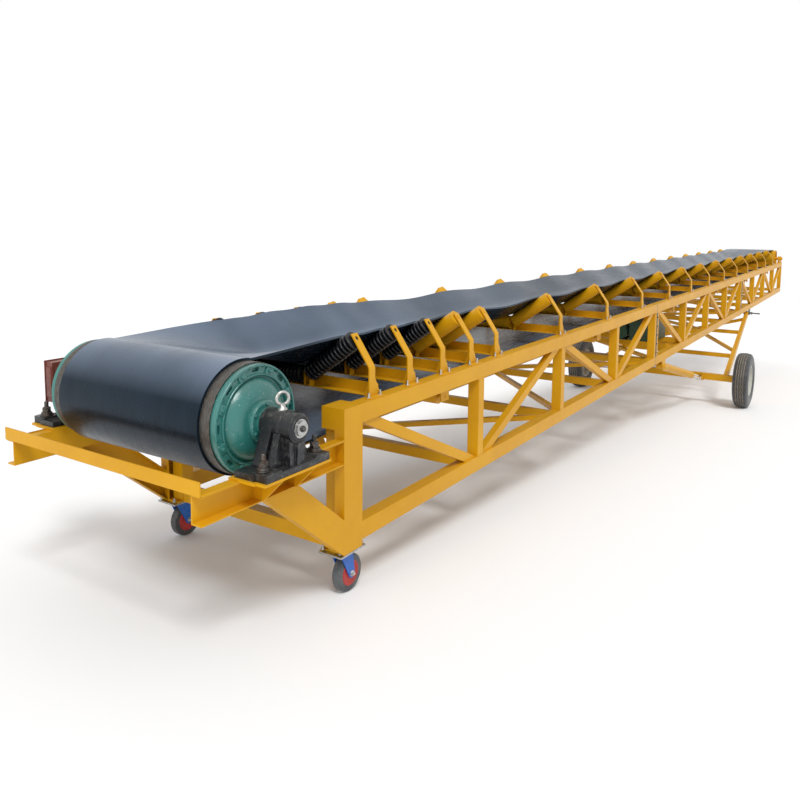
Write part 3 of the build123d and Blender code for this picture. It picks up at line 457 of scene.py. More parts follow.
yellow = painted(
    "frame_yellow", (0.68, 0.345, 0.005), (0.61, 0.295, 0.004), (0.4, 0.2, 0.05),
    roughness=0.38, dust=0.06, wear=0.05, stains=0.08, gloss=0.22,
)
teal = painted(
    "drum_green", (0.035, 0.2, 0.175), (0.02, 0.135, 0.12), (0.3, 0.4, 0.38),
    roughness=0.22, dust=0.15, wear=0.6, cast=0.6, stains=0.4, gloss=0.65,
)
dark_green = painted(
    "unit_green", (0.012, 0.07, 0.035), (0.008, 0.045, 0.024), (0.12, 0.14, 0.1),
    roughness=0.35, dust=0.3, wear=0.5,
)
black_cast = painted(
    "bearing_black", (0.012, 0.013, 0.016), (0.007, 0.0075, 0.009), (0.2, 0.19, 0.17),
    roughness=0.3, dust=0.16, wear=0.35, cast=0.5,
)
blue = painted(
    "fork_blue", (0.012, 0.14, 0.56), (0.01, 0.1, 0.44), (0.3, 0.3, 0.3),
    roughness=0.3, dust=0.2, wear=0.6,
)
grey_plate = painted(
    "plate_grey", (0.11, 0.115, 0.115), (0.07, 0.075, 0.075), (0.3, 0.22, 0.12),
    roughness=0.5, dust=0.25, wear=0.5,
)
red_box = painted(
    "box_red", (0.16, 0.035, 0.022), (0.1, 0.022, 0.015), (0.3, 0.2, 0.15),
    roughness=0.4, dust=0.25, wear=0.5,
)
white_rim = painted(
    "rim_white", (0.62, 0.61, 0.56), (0.5, 0.49, 0.44), (0.3, 0.22, 0.14),
    roughness=0.42, dust=0.3, wear=0.35,
)
caster_red = painted(
    "caster_hub_red", (0.5, 0.02, 0.014), (0.36, 0.016, 0.011), (0.12, 0.1, 0.09),
    roughness=0.4, dust=0.3, wear=0.3,
)
zinc = metal("zinc_bolt", (0.62, 0.61, 0.58), (0.42, 0.42, 0.4), 0.32)
dark_bolt = metal("dark_bolt", (0.16, 0.15, 0.14), (0.06, 0.055, 0.05), 0.45, rust=0.5)
shell_steel = metal(
    "scraped_shell", (0.2, 0.19, 0.175), (0.08, 0.076, 0.068), 0.5, (1.0, 6.0, 1.0), rust=0.35
)
shaft_steel = metal(
    "shaft_steel", (0.56, 0.56, 0.55), (0.36, 0.36, 0.35), 0.28, (1.0, 5.0, 1.0), rust=0.1
)
chrome = metal("rod_chrome", (0.78, 0.78, 0.78), (0.66, 0.66, 0.66), 0.12)
impact_black = rubber(
    "impact_rubber", (0.004, 0.0045, 0.006), (0.009, 0.01, 0.012), 0.28, dust=0.03
)
tyre_black = rubber(
    "tyre", (0.02, 0.021, 0.023), (0.042, 0.042, 0.044), 0.62, dust=0.4, sheen=0.2
)
tyre_groove = rubber("tyre_groove", (0.22, 0.18, 0.12), (0.36, 0.3, 0.22), 0.8, dust=0.5)
caster_grey = rubber(
    "caster_rubber", (0.028, 0.03, 0.032), (0.09, 0.095, 0.1), 0.6, dust=0.8, sheen=0.1
)
belt_black = belt_cover()

SLOT_MATERIALS = {
    "frame_yellow": yellow,
    "drum_green": teal,
    "unit_green": dark_green,
    "bearing_black": black_cast,
    "fork_blue": blue,
    "plate_grey": grey_plate,
    "box_red": red_box,
    "steel": shaft_steel,
    "rod_chrome": chrome,
    "belt_rubber": belt_black,
    "impact_rubber": impact_black,
    "caster_rubber": caster_grey,
    "tyre": tyre_black,
    "rim_white": white_rim,
}
for row in frame["record"]["subparts"]:
    node = nodes[row["node"]]
    node.data.materials.clear()
    node.data.materials.append(SLOT_MATERIALS[row["material_slot"]])
nodes["drum_shell"].data.materials[0] = shell_steel
nodes["head_pulley"].data.materials[0] = yellow
nodes["head_bearing_blocks"].data.materials[0] = yellow


# Belt: the solid's loop with the sag between its idlers and softly curved wings

ACROSS_STEPS = 34
ACROSS = [BELT_HALF * (2 * i / ACROSS_STEPS - 1) for i in range(ACROSS_STEPS + 1)]
FLAT_HALF = WING_Y - ROLLER_R * math.sin(TROUGH)
FLAT_Z = CENTRE_Z + ROLLER_R + BELT_GAP
BEND_HALF = 0.055
SAG, RETURN_SAG = 0.012, 0.02
WING_SAG, WING_OPENING = 0.032, 1.6
CREST, CREST_END = 0.036, 2.3
RIPPLE, RIPPLE_RATE, RIPPLE_PHASE = 0.0015, 5.1, 1.3
STATION_GAP = 0.09
TAIL_STEPS, HEAD_STEPS = 16, 12
RETURN_STEPS, CLIMB_STEPS = 12, 8
HEAD_TURN_STEPS, DRUM_TURN_STEPS = 40, 56


def trough_point(u, angle):
    """Half-breadth and height of the trough at a distance u from the belt's middle line."""
    reach = abs(u)
    start = FLAT_HALF - BEND_HALF
    if reach <= start:
        return reach, 0.0
    bend = min(reach, FLAT_HALF + BEND_HALF) - start
    turned = angle * bend / (2 * BEND_HALF)
    y, z = start + bend, 0.0
    if turned > 1e-6:
        y = start + math.sin(turned) / turned * bend
        z = (1 - math.cos(turned)) / turned * bend
    rest = reach - FLAT_HALF - BEND_HALF
    if rest > 0:
        y += rest * math.cos(angle)
        z += rest * math.sin(angle)
    return y, z


def leave(centre_x, centre_z, radius, x, z):
    """Angle past a pulley's top where the belt leaves it for a lower point."""
    reach, height = abs(x - centre_x), z - centre_z
    return math.asin(radius / math.hypot(reach, height)) - math.atan2(height, reach)


TAIL_LEAVE = leave(DRUM_X, DRUM_Z, DRUM_R + BELT_GAP, IDLER_X[0], FLAT_Z)
HEAD_LEAVE = leave(HEAD_X, HEAD_Z, HEAD_R + BELT_GAP, IDLER_X[-1], FLAT_Z)


def upper_stations():
    """(x, base height, trough angle, edge sag) along the carrying run."""
    tail_r, head_r = DRUM_R + BELT_GAP, HEAD_R + BELT_GAP
    tail_x = DRUM_X + tail_r * math.sin(TAIL_LEAVE)
    tail_z = DRUM_Z + tail_r * math.cos(TAIL_LEAVE)
    head_x = HEAD_X - head_r * math.sin(HEAD_LEAVE)
    head_z = HEAD_Z + head_r * math.cos(HEAD_LEAVE)
    rows = []
    for i in range(TAIL_STEPS):
        t = i / TAIL_STEPS
        x = tail_x + (IDLER_X[0] - tail_x) * t
        rows.append((x, tail_z + (FLAT_Z - tail_z) * t, TROUGH * t, 0.0))
    for first, last in zip(IDLER_X, IDLER_X[1:]):
        gap = last - first
        steps = max(6, int(gap / STATION_GAP))
        ease = gap / IDLER_PITCH
        for i in range(steps):
            t = i / steps
            bow = math.sin(math.pi * t) ** 2
            rows.append((first + gap * t, FLAT_Z - SAG * bow * ease, TROUGH, WING_SAG * bow * ease))
    for i in range(HEAD_STEPS + 1):
        t = i / HEAD_STEPS
        x = IDLER_X[-1] + (head_x - IDLER_X[-1]) * t
        rows.append((x, FLAT_Z + (head_z - FLAT_Z) * t, TROUGH * (1 - t), 0.0))
    return rows


def carrying_section(x, z, angle, droop):
    """Inner and outer face of the trough at one station."""
    inner, outer = [], []
    sag = angle - droop * WING_OPENING
    for u in ACROSS:
        y, lift = trough_point(u, sag)
        side = 1 if u > 0 else -1
        edge = max(0.0, (abs(u) - FLAT_HALF) / (BELT_HALF - FLAT_HALF))
        ripple = RIPPLE * edge * math.sin(x * RIPPLE_RATE + (RIPPLE_PHASE if u > 0 else 0))
        if u > 0 and x < CREST_END:
            share = max(0.0, (x - DRUM_X) / (CREST_END - DRUM_X))
            ripple += CREST * edge * math.sin(math.pi * share) ** 2
        tip = sag * min(1.0, max(0.0, (abs(u) - FLAT_HALF + BEND_HALF) / (2 * BEND_HALF)))
        base = z + lift + ripple
        inner.append(Vector((x, side * y, base)))
        out_y = side * (y - BELT_THICK * math.sin(tip))
        outer.append(Vector((x, out_y, base + BELT_THICK * math.cos(tip))))
    return inner, outer


def straight_section(x, z, lift):
    """Flat section with its outer face at a height and its inner face one lift further in."""
    return [Vector((x, u, z)) + lift for u in ACROSS], [Vector((x, u, z)) for u in ACROSS]


def pulley_sections(centre_x, centre_z, radius, start, sweep, steps):
    """Sections round a pulley, between the first and the last one."""
    made = []
    for i in range(1, steps):
        angle = start + sweep * i / steps
        faces = []
        for reach in (radius, radius + BELT_THICK):
            x = centre_x + reach * math.cos(angle)
            z = centre_z + reach * math.sin(angle)
            faces.append([Vector((x, u, z)) for u in ACROSS])
        made.append(tuple(faces))
    return made


def belt_sections():
    """(inner, outer) faces of the whole loop, from the drum up and back again."""
    made = [carrying_section(*row) for row in upper_stations()]
    start, sweep = math.pi / 2 + HEAD_LEAVE, -(math.pi + HEAD_LEAVE)
    made += pulley_sections(HEAD_X, HEAD_Z, HEAD_R + BELT_GAP, start, sweep, HEAD_TURN_STEPS)
    low = RETURN_Z + ROLLER_R + BELT_GAP
    stops = [HEAD_X, *reversed(RETURN_X)]
    upward_lift = Vector((0, 0, BELT_THICK))
    for first, last in zip(stops, stops[1:]):
        for i in range(RETURN_STEPS):
            t = i / RETURN_STEPS
            bow = math.sin(math.pi * t) ** 2 * RETURN_SAG * (first - last) / RETURN_PITCH
            made.append(straight_section(first + (last - first) * t, low - bow, upward_lift))
    far = DRUM_R + BELT_GAP + BELT_THICK
    run, drop = RETURN_X[0] - DRUM_X, low - DRUM_Z
    lean = math.asin(far / math.hypot(run, drop)) + math.atan2(drop, run)
    end = math.radians(270) + lean
    foot_x, foot_z = DRUM_X + far * math.cos(end), DRUM_Z + far * math.sin(end)
    leaning_lift = Vector((-math.sin(lean), 0, math.cos(lean))) * BELT_THICK
    for i in range(CLIMB_STEPS + 1):
        t = i / CLIMB_STEPS
        x = RETURN_X[0] + (foot_x - RETURN_X[0]) * t
        z = low + (foot_z - low) * t
        made.append(straight_section(x, z, leaning_lift if i else upward_lift))
    sweep = math.pi / 2 - TAIL_LEAVE - end
    made += pulley_sections(DRUM_X, DRUM_Z, DRUM_R + BELT_GAP, end, sweep, DRUM_TURN_STEPS)
    return made


def belt_loop(builder):
    """Closed loop of cross-sections: a carrying face, a pulley face and two edges."""
    rings = []
    for inner, outer in belt_sections():
        rings.append([builder.verts.new(boom @ point) for point in (*outer, *reversed(inner))])
    for low, high in zip(rings, rings[1:] + rings[:1]):
        bridged(builder, low, high)
    bmesh.ops.recalc_face_normals(builder, faces=builder.faces)


belt = add("belt_loop", "boom", belt_black, "belt_rubber", belt_loop, smooth=40)
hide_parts("conveyor_belt")


# Impact rollers: separate rubber rings on the first three idlers

RING_COUNT = 14
# Shares of the radius and of the rings' pitch, from one gap to the next
RING_SHAPE = ((0.66, 0.14), (0.95, 0.24), (1.0, 0.4), (1.0, 0.6), (0.95, 0.76), (0.66, 0.86))
STUB_R, STUB_L = 0.0118, 0.0115


def wing_matrix(x, side):
    """Frame of a wing roller: Z along its axis from its lower end."""
    axis = (0, side * math.cos(TROUGH), math.sin(TROUGH))
    return frame_along((x, side * WING_Y, WING_Z), axis)


def ring_profile(length, radius):
    """Rubber rings side by side, their crowns rounded and their gaps deep."""
    pitch = length / RING_COUNT
    profile = [(0, 0), (radius * 0.7, 0)]
    for i in range(RING_COUNT):
        profile += [(radius * reach, pitch * i + pitch * share) for reach, share in RING_SHAPE]
    return [*profile, (radius * 0.7, length), (0, length)]


def impact_rings(builder):
    for x in IDLER_X[:3]:
        centre = frame_along((x, -ROLLER_L / 2, CENTRE_Z), (0, 1, 0))
        for matrix in (centre, wing_matrix(x, 1), wing_matrix(x, -1)):
            revolve(builder, ring_profile(ROLLER_L, ROLLER_R), 40, matrix)
            for end in (-STUB_L, ROLLER_L):
                stub = [(0, end), (STUB_R, end), (STUB_R, end + STUB_L), (0, end + STUB_L)]
                revolve(builder, stub, 14, matrix)


impact = add("impact_rings", "boom", impact_black, "impact_rubber", impact_rings)
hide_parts("impact_rollers")


# Fasteners of the boom

BRACKET_BOLT_X, BRACKET_BOLT_Y = 0.052, 0.668
JOINT_PLATE_HALF = 0.006
JOINT_BOLT_Y = (0.635, 0.68)
JOINT_BOLT_Z = (CHORD_HEIGHT + 0.03, CHORD_TOP - CHORD_HEIGHT - 0.03)
RETURN_BOLT_X, RETURN_BOLT_DROP, RETURN_BRACKET = 0.03, 0.07, 0.008
HEAD_BOLT_X, HEAD_BOLT_Y, HEAD_PAD = 0.095, 0.66, 0.024
CASTER_PLATE = Vector((0.078, 0.627, -0.025))
CASTER_BOLT_X, CASTER_BOLT_Y = 0.09, 0.055


def frame_bolts(builder):
    for x in IDLER_X:
        for _, side in SIDES:
            for dx in mirrored(BRACKET_BOLT_X):
                bolt(builder, (x + dx, side * BRACKET_BOLT_Y, CHORD_TOP), UP, 0.013, 0.022)
    for x in SECTION_JOINTS:
        for _, side in SIDES:
            for z in JOINT_BOLT_Z:
                for y in JOINT_BOLT_Y:
                    for way in WAYS:
                        spot = (x + way * JOINT_PLATE_HALF, side * y, z)
                        bolt(builder, spot, (way, 0, 0), 0.012, 0.012 if way > 0 else 0)
    for x in RETURN_X:
        for _, side in SIDES:
            y = side * (HALF_WIDTH - CHORD_WIDTH - RETURN_BRACKET)
            for dx in mirrored(RETURN_BOLT_X):
                spot = (x + dx, y, CHORD_TOP - RETURN_BOLT_DROP)
                bolt(builder, spot, (0, -side, 0), 0.011, 0.01)
    for _, side in SIDES:
        for dx in mirrored(HEAD_BOLT_X):
            spot = (HEAD_X + dx, side * HEAD_BOLT_Y, CHORD_TOP + HEAD_PAD)
            bolt(builder, spot, UP, 0.018, 0.02)
        for dx in mirrored(CASTER_BOLT_X):
            for dy in mirrored(CASTER_BOLT_Y):
                spot = (CASTER_PLATE.x + dx, side * CASTER_PLATE.y + dy, CASTER_PLATE.z)
                bolt(builder, spot, UP, 0.011, 0.014)


add("frame_bolts", "boom", zinc, "steel", frame_bolts)


# Lifting eyes on the tail bearings

EYE_Y, EYE_RISE = 0.745, 0.066
EYE_SHANK = ((0, 0), (0.021, 0), (0.021, 0.009), (0.013, 0.014), (0.012, 0.03), (0, 0.03))
EYE_CENTRE = Vector((0, 0, 0.052))
EYE_R, EYE_WIRE = 0.028, 0.0075


def eye_bolts(builder):
    for _, side in SIDES:
        seat = Vector((DRUM_X, side * EYE_Y, DRUM_Z + EYE_RISE))
        revolve(builder, EYE_SHANK, 20, frame_along(seat, UP))
        matrix = frame_along(seat + EYE_CENTRE, (0.5, -side, 0))
        torus(builder, matrix, EYE_R, EYE_WIRE, 36, 12)


add("eye_bolts", "boom", zinc, "steel", eye_bolts, smooth=60)


# Bearing housings: the broad outer half of each block, its ring and the base it stands on

HOUSING_IN, HOUSING_FACE, HOUSING_R = 0.758, 0.85, 0.066
BASE_FRONT, BASE_BACK = -0.702, -0.294
BASE_TOP = BEARING_SEAT + 0.028
BASE_OUT = 0.84
BOSS_L, BOSS_SLOPE, BOSS_RISE = 0.085, 0.098, 0.012
WEB_SEAT = BASE_TOP - 0.002
RIB_HALF = 0.006
HOUSING = (
    (0, HOUSING_IN),
    (HOUSING_R + 0.004, HOUSING_IN),
    (HOUSING_R + 0.004, HOUSING_IN + 0.016),
    (HOUSING_R, HOUSING_IN + 0.02),
    (HOUSING_R, HOUSING_FACE - 0.012),
    (HOUSING_R - 0.004, HOUSING_FACE - 0.007),
    (0.056, HOUSING_FACE - 0.004),
    (0.054, HOUSING_FACE),
    (0.046, HOUSING_FACE),
    (0.0445, HOUSING_FACE - 0.006),
    (0.034, HOUSING_FACE - 0.006),
    (0, HOUSING_FACE - 0.006),
)
BASE = (
    (BASE_FRONT, BEARING_SEAT),
    (BASE_BACK, BEARING_SEAT),
    (BASE_BACK, BASE_TOP + 0.008),
    (BASE_BACK - BOSS_L, BASE_TOP + BOSS_RISE),
    (BASE_BACK - BOSS_SLOPE, BASE_TOP),
    (BASE_FRONT + BOSS_SLOPE, BASE_TOP),
    (BASE_FRONT + BOSS_L, BASE_TOP + BOSS_RISE),
    (BASE_FRONT, BASE_TOP + 0.008),
)
# Half-breadths at foot and top, drop of the top below the drum's axis, and reach outward
WEBS = (
    (0.118, 0.066, 0.016, (0.752, 0.79)),
    (0.046, 0.052, 0.02, (0.78, 0.828)),
)
RIB = ((0.78, WEB_SEAT), (0.836, WEB_SEAT), (0.846, DRUM_Z - 0.045), (0.78, DRUM_Z - 0.03))


def drum_frame(side):
    """Frame with Z along the drum's axis, outward on one side."""
    return frame_along((DRUM_X, 0, DRUM_Z), (0, side, 0))


def web_outline(low_half, high_half, drop):
    """Web from the base up to a little below the drum's axis."""
    top = DRUM_Z - drop
    return [
        (DRUM_X - low_half, WEB_SEAT),
        (DRUM_X + low_half, WEB_SEAT),
        (DRUM_X + high_half, top),
        (DRUM_X - high_half, top),
    ]


def bearing_housings(builder):
    for _, side in SIDES:
        revolve(builder, HOUSING, 56, drum_frame(side))
        prism(builder, BASE, "Y", side * (BEARING_Y + 0.03), side * BASE_OUT)
        for *shape, (start, end) in WEBS:
            prism(builder, web_outline(*shape), "Y", side * start, side * end)
        for dx in mirrored(RIB_HALF):
            x = DRUM_X + dx
            prism(builder, [(side * y, z) for y, z in RIB], "X", x - RIB_HALF, x + RIB_HALF)


add("bearing_housings", "boom", black_cast, "bearing_black", bearing_housings, smooth=32)


# Bearing shelves: outer edge of each pad, and the gussets down to the arm's lower flange

ARM_FACE = 0.699
ARM_LOW = 0.446
PAD_LOW = 0.566
SHELF_OUT = 0.842
GUSSET_X, GUSSET_HALF = (-0.585, -0.37), 0.006


def bearing_shelves(builder):
    gusset = ((ARM_FACE, ARM_LOW), (0.712, ARM_LOW), (0.832, PAD_LOW), (ARM_FACE, PAD_LOW))
    pad_x = (BASE_FRONT - 0.014, BASE_BACK + 0.012)
    lip_x = (DRUM_X - 0.43, 0.0)
    for _, side in SIDES:
        slab(builder, side, pad_x, (ARM_FACE, SHELF_OUT), (PAD_LOW, BEARING_SEAT))
        for x in GUSSET_X:
            outline = [(side * y, z) for y, z in gusset]
            prism(builder, outline, "X", x - GUSSET_HALF, x + GUSSET_HALF)
        slab(builder, side, lip_x, (ARM_FACE, ARM_FACE + 0.003), (PAD_LOW, PAD_LOW + 0.006))


add("bearing_shelves", "boom", yellow, "frame_yellow", bearing_shelves)


# Studs of the bearing bases, and the small screw in the shaft's end

STUD_X, STUD_Y, STUD_Z = 0.165, 0.785, BEARING_SEAT + 0.0395
SPRING_WASHER = ((0, 0), (0.034, 0), (0.034, 0.005), (0.028, 0.006), (0.028, 0.012), (0, 0.012))
NUT_RISE = Vector((0, 0, 0.012))
LOCKNUT_RISE = Vector((0, 0, 0.028))
SHAFT_END_Y = -0.86


def bearing_bolts(builder):
    for _, side in SIDES:
        for dx in mirrored(STUD_X):
            foot = Vector((DRUM_X + dx, side * STUD_Y, STUD_Z))
            revolve(builder, SPRING_WASHER, 28, frame_along(foot, UP))
            bolt(builder, foot + NUT_RISE, UP, 0.024)
            bolt(builder, foot + LOCKNUT_RISE, UP, 0.023, 0.03, washer=False)
    bolt(builder, (DRUM_X, SHAFT_END_Y, DRUM_Z), (0, -1, 0), 0.013)


add("bearing_bolts", "boom", dark_bolt, "steel", bearing_bolts)


# Terminal box: flange, raised panel and side rib of its lid, with their screws

BOX_BACK = 0.85
# Offset along the boom, distance from the box's back, size and bevel of each plate
LID_PLATES = (
    (0.0, 0.062, (0.184, 0.006, 0.234), 0.002),
    (0.0, 0.072, (0.15, 0.012, 0.2), 0.004),
    (-0.086, 0.032, (0.006, 0.046, 0.17), 0.002),
)
LID_SCREW_X, LID_SCREW_Y, LID_SCREW_Z = 0.083, 0.0655, 0.108


def box_lid(builder):
    for dx, out, size, bevel in LID_PLATES:
        box(builder, frame_along((DRUM_X + dx, BOX_BACK + out, DRUM_Z), UP), size, bevel)
    for dx in mirrored(LID_SCREW_X):
        for dz in (-LID_SCREW_Z, 0, LID_SCREW_Z):
            spot = (DRUM_X + dx, BOX_BACK + LID_SCREW_Y, DRUM_Z + dz)
            bolt(builder, spot, (0, 1, 0), 0.007)


add("box_lid", "boom", red_box, "box_red", box_lid)


# Drum covers: raised lips, ribs between the recesses, the stepped collar and the bolts

COVER_SEAT = 0.56
COVER_RIM = COVER_SEAT + 0.024
COVER_HUB = COVER_SEAT + 0.092
COLLAR_END = 0.672
RECESS_R = 0.2235
SPOKE_COUNT, SPOKE_SIZE = 8, (0.034, 0.044, 0.011)
SMALL_RIB_COUNT, SMALL_RIB_R, SMALL_RIB_SIZE = 16, 0.2405, (0.012, 0.005, 0.012)
# Count, radius, height over the rim's face and size of each ring of bolts
COVER_BOLTS = ((SPOKE_COUNT, RECESS_R, 0.0078, 0.0095), (6, 0.0815, 0.0675, 0.0085))


def cover_trim(builder):
    seat, rim, hub = COVER_SEAT, COVER_RIM, COVER_HUB
    outer_lip = [(0.2495, seat), (0.2512, seat + 0.004), (0.2512, rim + 0.007)]
    outer_lip += [(0.249, rim + 0.01), (0.2405, rim + 0.01), (0.239, rim + 0.007)]
    outer_lip += [(0.2385, rim - 0.002), (0.2495, seat)]
    inner_lip = [(0.2085, rim - 0.004), (0.208, rim + 0.006), (0.2055, rim + 0.009)]
    inner_lip += [(0.2015, rim + 0.009), (0.199, rim + 0.006), (0.196, rim - 0.006)]
    inner_lip += [(0.2085, rim - 0.004)]
    collar = [(0.0665, hub - 0.004), (0.0665, hub + 0.012), (0.064, hub + 0.015)]
    collar += [(0.052, hub + 0.015), (0.0505, hub + 0.018), (0.0505, COLLAR_END)]
    collar += [(0, COLLAR_END)]
    for _, side in SIDES:
        matrix = drum_frame(side)
        revolve(builder, outer_lip, 120, matrix)
        revolve(builder, inner_lip, 100, matrix)
        revolve(builder, collar, 64, matrix)
        for angle in turns(SPOKE_COUNT, 0.5):
            place = Matrix.Translation((RECESS_R, 0, rim + 0.0025))
            box(builder, matrix @ Matrix.Rotation(angle, 4, "Z") @ place, SPOKE_SIZE, 0.002)
        for angle in turns(SMALL_RIB_COUNT, 0.5):
            place = Matrix.Translation((SMALL_RIB_R, 0, rim + 0.004))
            box(builder, matrix @ Matrix.Rotation(angle, 4, "Z") @ place, SMALL_RIB_SIZE, 0.0012)


def cover_bolts(builder):
    for _, side in SIDES:
        for count, radius, height, size in COVER_BOLTS:
            centre = Vector((DRUM_X, side * (COVER_SEAT + 0.0245 + height), DRUM_Z))
            for angle in turns(count, 0.5):
                bolt(builder, centre + upright_circle(radius, angle), (0, side, 0), size)


add("cover_trim", "boom", teal, "drum_green", cover_trim, smooth=32)
add("cover_bolts", "boom", teal, "drum_green", cover_bolts)


# Brackets: foot plate and flare of each outer bracket on the top chord

FOOT_X, FOOT_Y, FOOT_THICK = (-0.066, 0.078), (0.652, 0.692), 0.007
FLARE = ((0.024, 0), (0.072, 0), (0.072, 0.012), (0.026, 0.1))
FLARE_Y = (0.6461, 0.6539)


def bracket_feet(builder):
    for x in IDLER_X:
        foot_x = [x + dx for dx in FOOT_X]
        flare = [(x + dx, CHORD_TOP + dz) for dx, dz in FLARE]
        for _, side in SIDES:
            slab(builder, side, foot_x, FOOT_Y, (CHORD_TOP, CHORD_TOP + FOOT_THICK))
            prism(builder, flare, "Y", side * FLARE_Y[0], side * FLARE_Y[1])


add("bracket_feet", "boom", yellow, "frame_yellow", bracket_feet)


# Stand: crossed braces between the legs, and the handled pins on its pivot

LEG_TOP = Vector((13.05, 0.66, -0.07))
LEG_FOOT_Y = 0.99
BRACE_LOW, BRACE_HIGH, BRACE_SIZE = 0.65, 0.12, (0.045, 0.05)
HANDLE = (
    (0, 0.71), (0.019, 0.71), (0.019, 0.742), (0.03, 0.744), (0.03, 0.756), (0.013, 0.758),
    (0.013, 0.868), (0.017, 0.872), (0.017, 0.888), (0.013, 0.892), (0, 0.893),
)


def leg_point(side, share):
    """Point on a leg's centre line, from its eye at 0 to the axle at 1."""
    axle = joint_point("wheel_spin_left")
    point = LEG_TOP.lerp(Vector((axle.x, LEG_FOOT_Y, axle.z)), share)
    return Vector((point.x, side * point.y, point.z))


def stand_braces(builder):
    for _, side in SIDES:
        bar(builder, leg_point(side, BRACE_LOW), leg_point(-side, BRACE_HIGH), *BRACE_SIZE)


def pivot_handles(builder):
    for _, side in SIDES:
        revolve(builder, HANDLE, 24, frame_along((PIVOT.x, 0, PIVOT.z), (0, side, 0)))


add("stand_braces", "stand", yellow, "frame_yellow", stand_braces)
add("pivot_handles", "boom", grey_plate, "plate_grey", pivot_handles, smooth=32)


# Hydraulic unit: fins and hood of the motor, lid and filler cap of the tank

UNIT_X, UNIT_Y, UNIT_FLOOR = 6.9, -0.44, 0.13
UNIT_TOP = UNIT_FLOOR + 0.26
MOTOR_R = 0.095
MOTOR_POINT = (UNIT_X, UNIT_Y + 0.32 + MOTOR_R + 0.03, UNIT_FLOOR + 0.012 + MOTOR_R)
FIN_COUNT, FIN_START, FIN_PITCH = 17, 0.05, 0.016
FIN = ((0.09, 0), (0.107, 0.001), (0.107, 0.005), (0.09, 0.006))
TANK_LID_POINT = (UNIT_X + 0.31, UNIT_Y + 0.16, UNIT_TOP + 0.005)
TANK_LID_SIZE = (0.6, 0.3, 0.01)
CAP_POINT = (UNIT_X + 0.12, UNIT_Y + 0.1, UNIT_TOP + 0.008)
HOOD = ((0, -0.012), (0.05, -0.012), (0.1, -0.006), (0.104, 0.0), (0.104, 0.044), (0.09, 0.046))
FILLER_CAP = (
    (0, 0), (0.028, 0), (0.028, 0.02), (0.04, 0.024), (0.04, 0.05), (0.036, 0.056), (0, 0.058),
)


def unit_details(builder):
    matrix = frame_along(MOTOR_POINT, (1, 0, 0))
    for i in range(FIN_COUNT):
        start = FIN_START + FIN_PITCH * i
        revolve(builder, [(radius, start + z) for radius, z in FIN], 48, matrix)
    revolve(builder, HOOD, 48, matrix)
    box(builder, boom @ Matrix.Translation(TANK_LID_POINT), TANK_LID_SIZE, 0.003)
    revolve(builder, FILLER_CAP, 28, frame_along(CAP_POINT, UP))


add("unit_details", "boom", dark_green, "unit_green", unit_details, smooth=32)


# Section joints: dark cover strips on the posts and splice plates under the bottom chords

STRIP_LOW, STRIP_HIGH = CHORD_HEIGHT + 0.004, CHORD_TOP - CHORD_HEIGHT - 0.004
STRIP_X, STRIP_Y = (-0.016, 0.022), (0.6995, 0.7045)
STRIP_BOLTS, STRIP_BOLT_X = 5, 0.003
SPLICE_X, SPLICE_Y, SPLICE_THICK = (-0.13, 0.13), (0.628, 0.695), 0.0065
SPLICE_BOLT_X, SPLICE_BOLT_Y = (-0.1, -0.045, 0.045, 0.1), (0.643, 0.68)


def joint_strips(builder):
    height = STRIP_HIGH - STRIP_LOW
    for x in SECTION_JOINTS:
        strip_x, splice_x = ([x + dx for dx in ends] for ends in (STRIP_X, SPLICE_X))
        for _, side in SIDES:
            slab(builder, side, strip_x, STRIP_Y, (STRIP_LOW, STRIP_HIGH))
            slab(builder, side, splice_x, SPLICE_Y, (-SPLICE_THICK, 0.0))
            for dx in SPLICE_BOLT_X:
                for y in SPLICE_BOLT_Y:
                    bolt(builder, (x + dx, side * y, -SPLICE_THICK), (0, 0, -1), 0.011, 0.004)
            for i in range(STRIP_BOLTS):
                z = STRIP_LOW + height * (i + 0.5) / STRIP_BOLTS
                spot = (x + STRIP_BOLT_X, side * STRIP_Y[1], z)
                bolt(builder, spot, (0, side, 0), 0.009, 0.003)


add("joint_strips", "boom", grey_plate, "plate_grey", joint_strips)


# Weld beads along the chords of the side frames and on the tail arms

BAY, BEAD_BAYS = 1.5, 9
BEAD_HALF = 0.0375
TAIL_CLEAR = 0.16
BEAD_X = [BAY * i + dx for i in range(BEAD_BAYS) for dx in (0.037, -0.037)]
BEAD_X = [x for x in BEAD_X if x >= TAIL_CLEAR]
# Start and end of each seam at the tail, on the left side
TAIL_SEAMS = (
    ((-0.001, 0.702, ARM_LOW), (-0.001, 0.645, ARM_LOW)),
    ((-0.001, 0.702, 0.559), (-0.001, 0.645, 0.559)),
    ((-0.0015, HALF_WIDTH, ARM_LOW), (-0.0015, HALF_WIDTH, 0.56)),
    ((-0.93, 0.64, 0.567), (-0.93, HALF_WIDTH, 0.567)),
    ((-0.868, 0.64, 0.567), (-0.868, HALF_WIDTH, 0.567)),
)


def bead(builder, start, end, radius):
    """Rippled bead along a seam."""
    run = Vector(end) - Vector(start)
    ripples = max(3, int(run.length / 0.009))
    profile = [(0, 0)]
    for i in range(ripples + 1):
        profile.append((radius * (1.0 if i % 2 else 0.78), run.length * i / ripples))
    profile.append((0, run.length))
    revolve(builder, profile, 6, frame_along(start, run))


def weld_beads(builder):
    for _, side in SIDES:
        face = side * (HALF_WIDTH + 0.0005)
        for x in BEAD_X:
            for z in (CHORD_HEIGHT, CHORD_TOP - CHORD_HEIGHT):
                bead(builder, (x - BEAD_HALF, face, z), (x + BEAD_HALF, face, z), 0.0035)
        for seam in TAIL_SEAMS:
            start, end = ((x, side * y, z) for x, y, z in seam)
            bead(builder, start, end, 0.004)


add("weld_beads", "boom", yellow, "frame_yellow", weld_beads, smooth=40)


# Casters: dished red hubs and the nuts on their axles

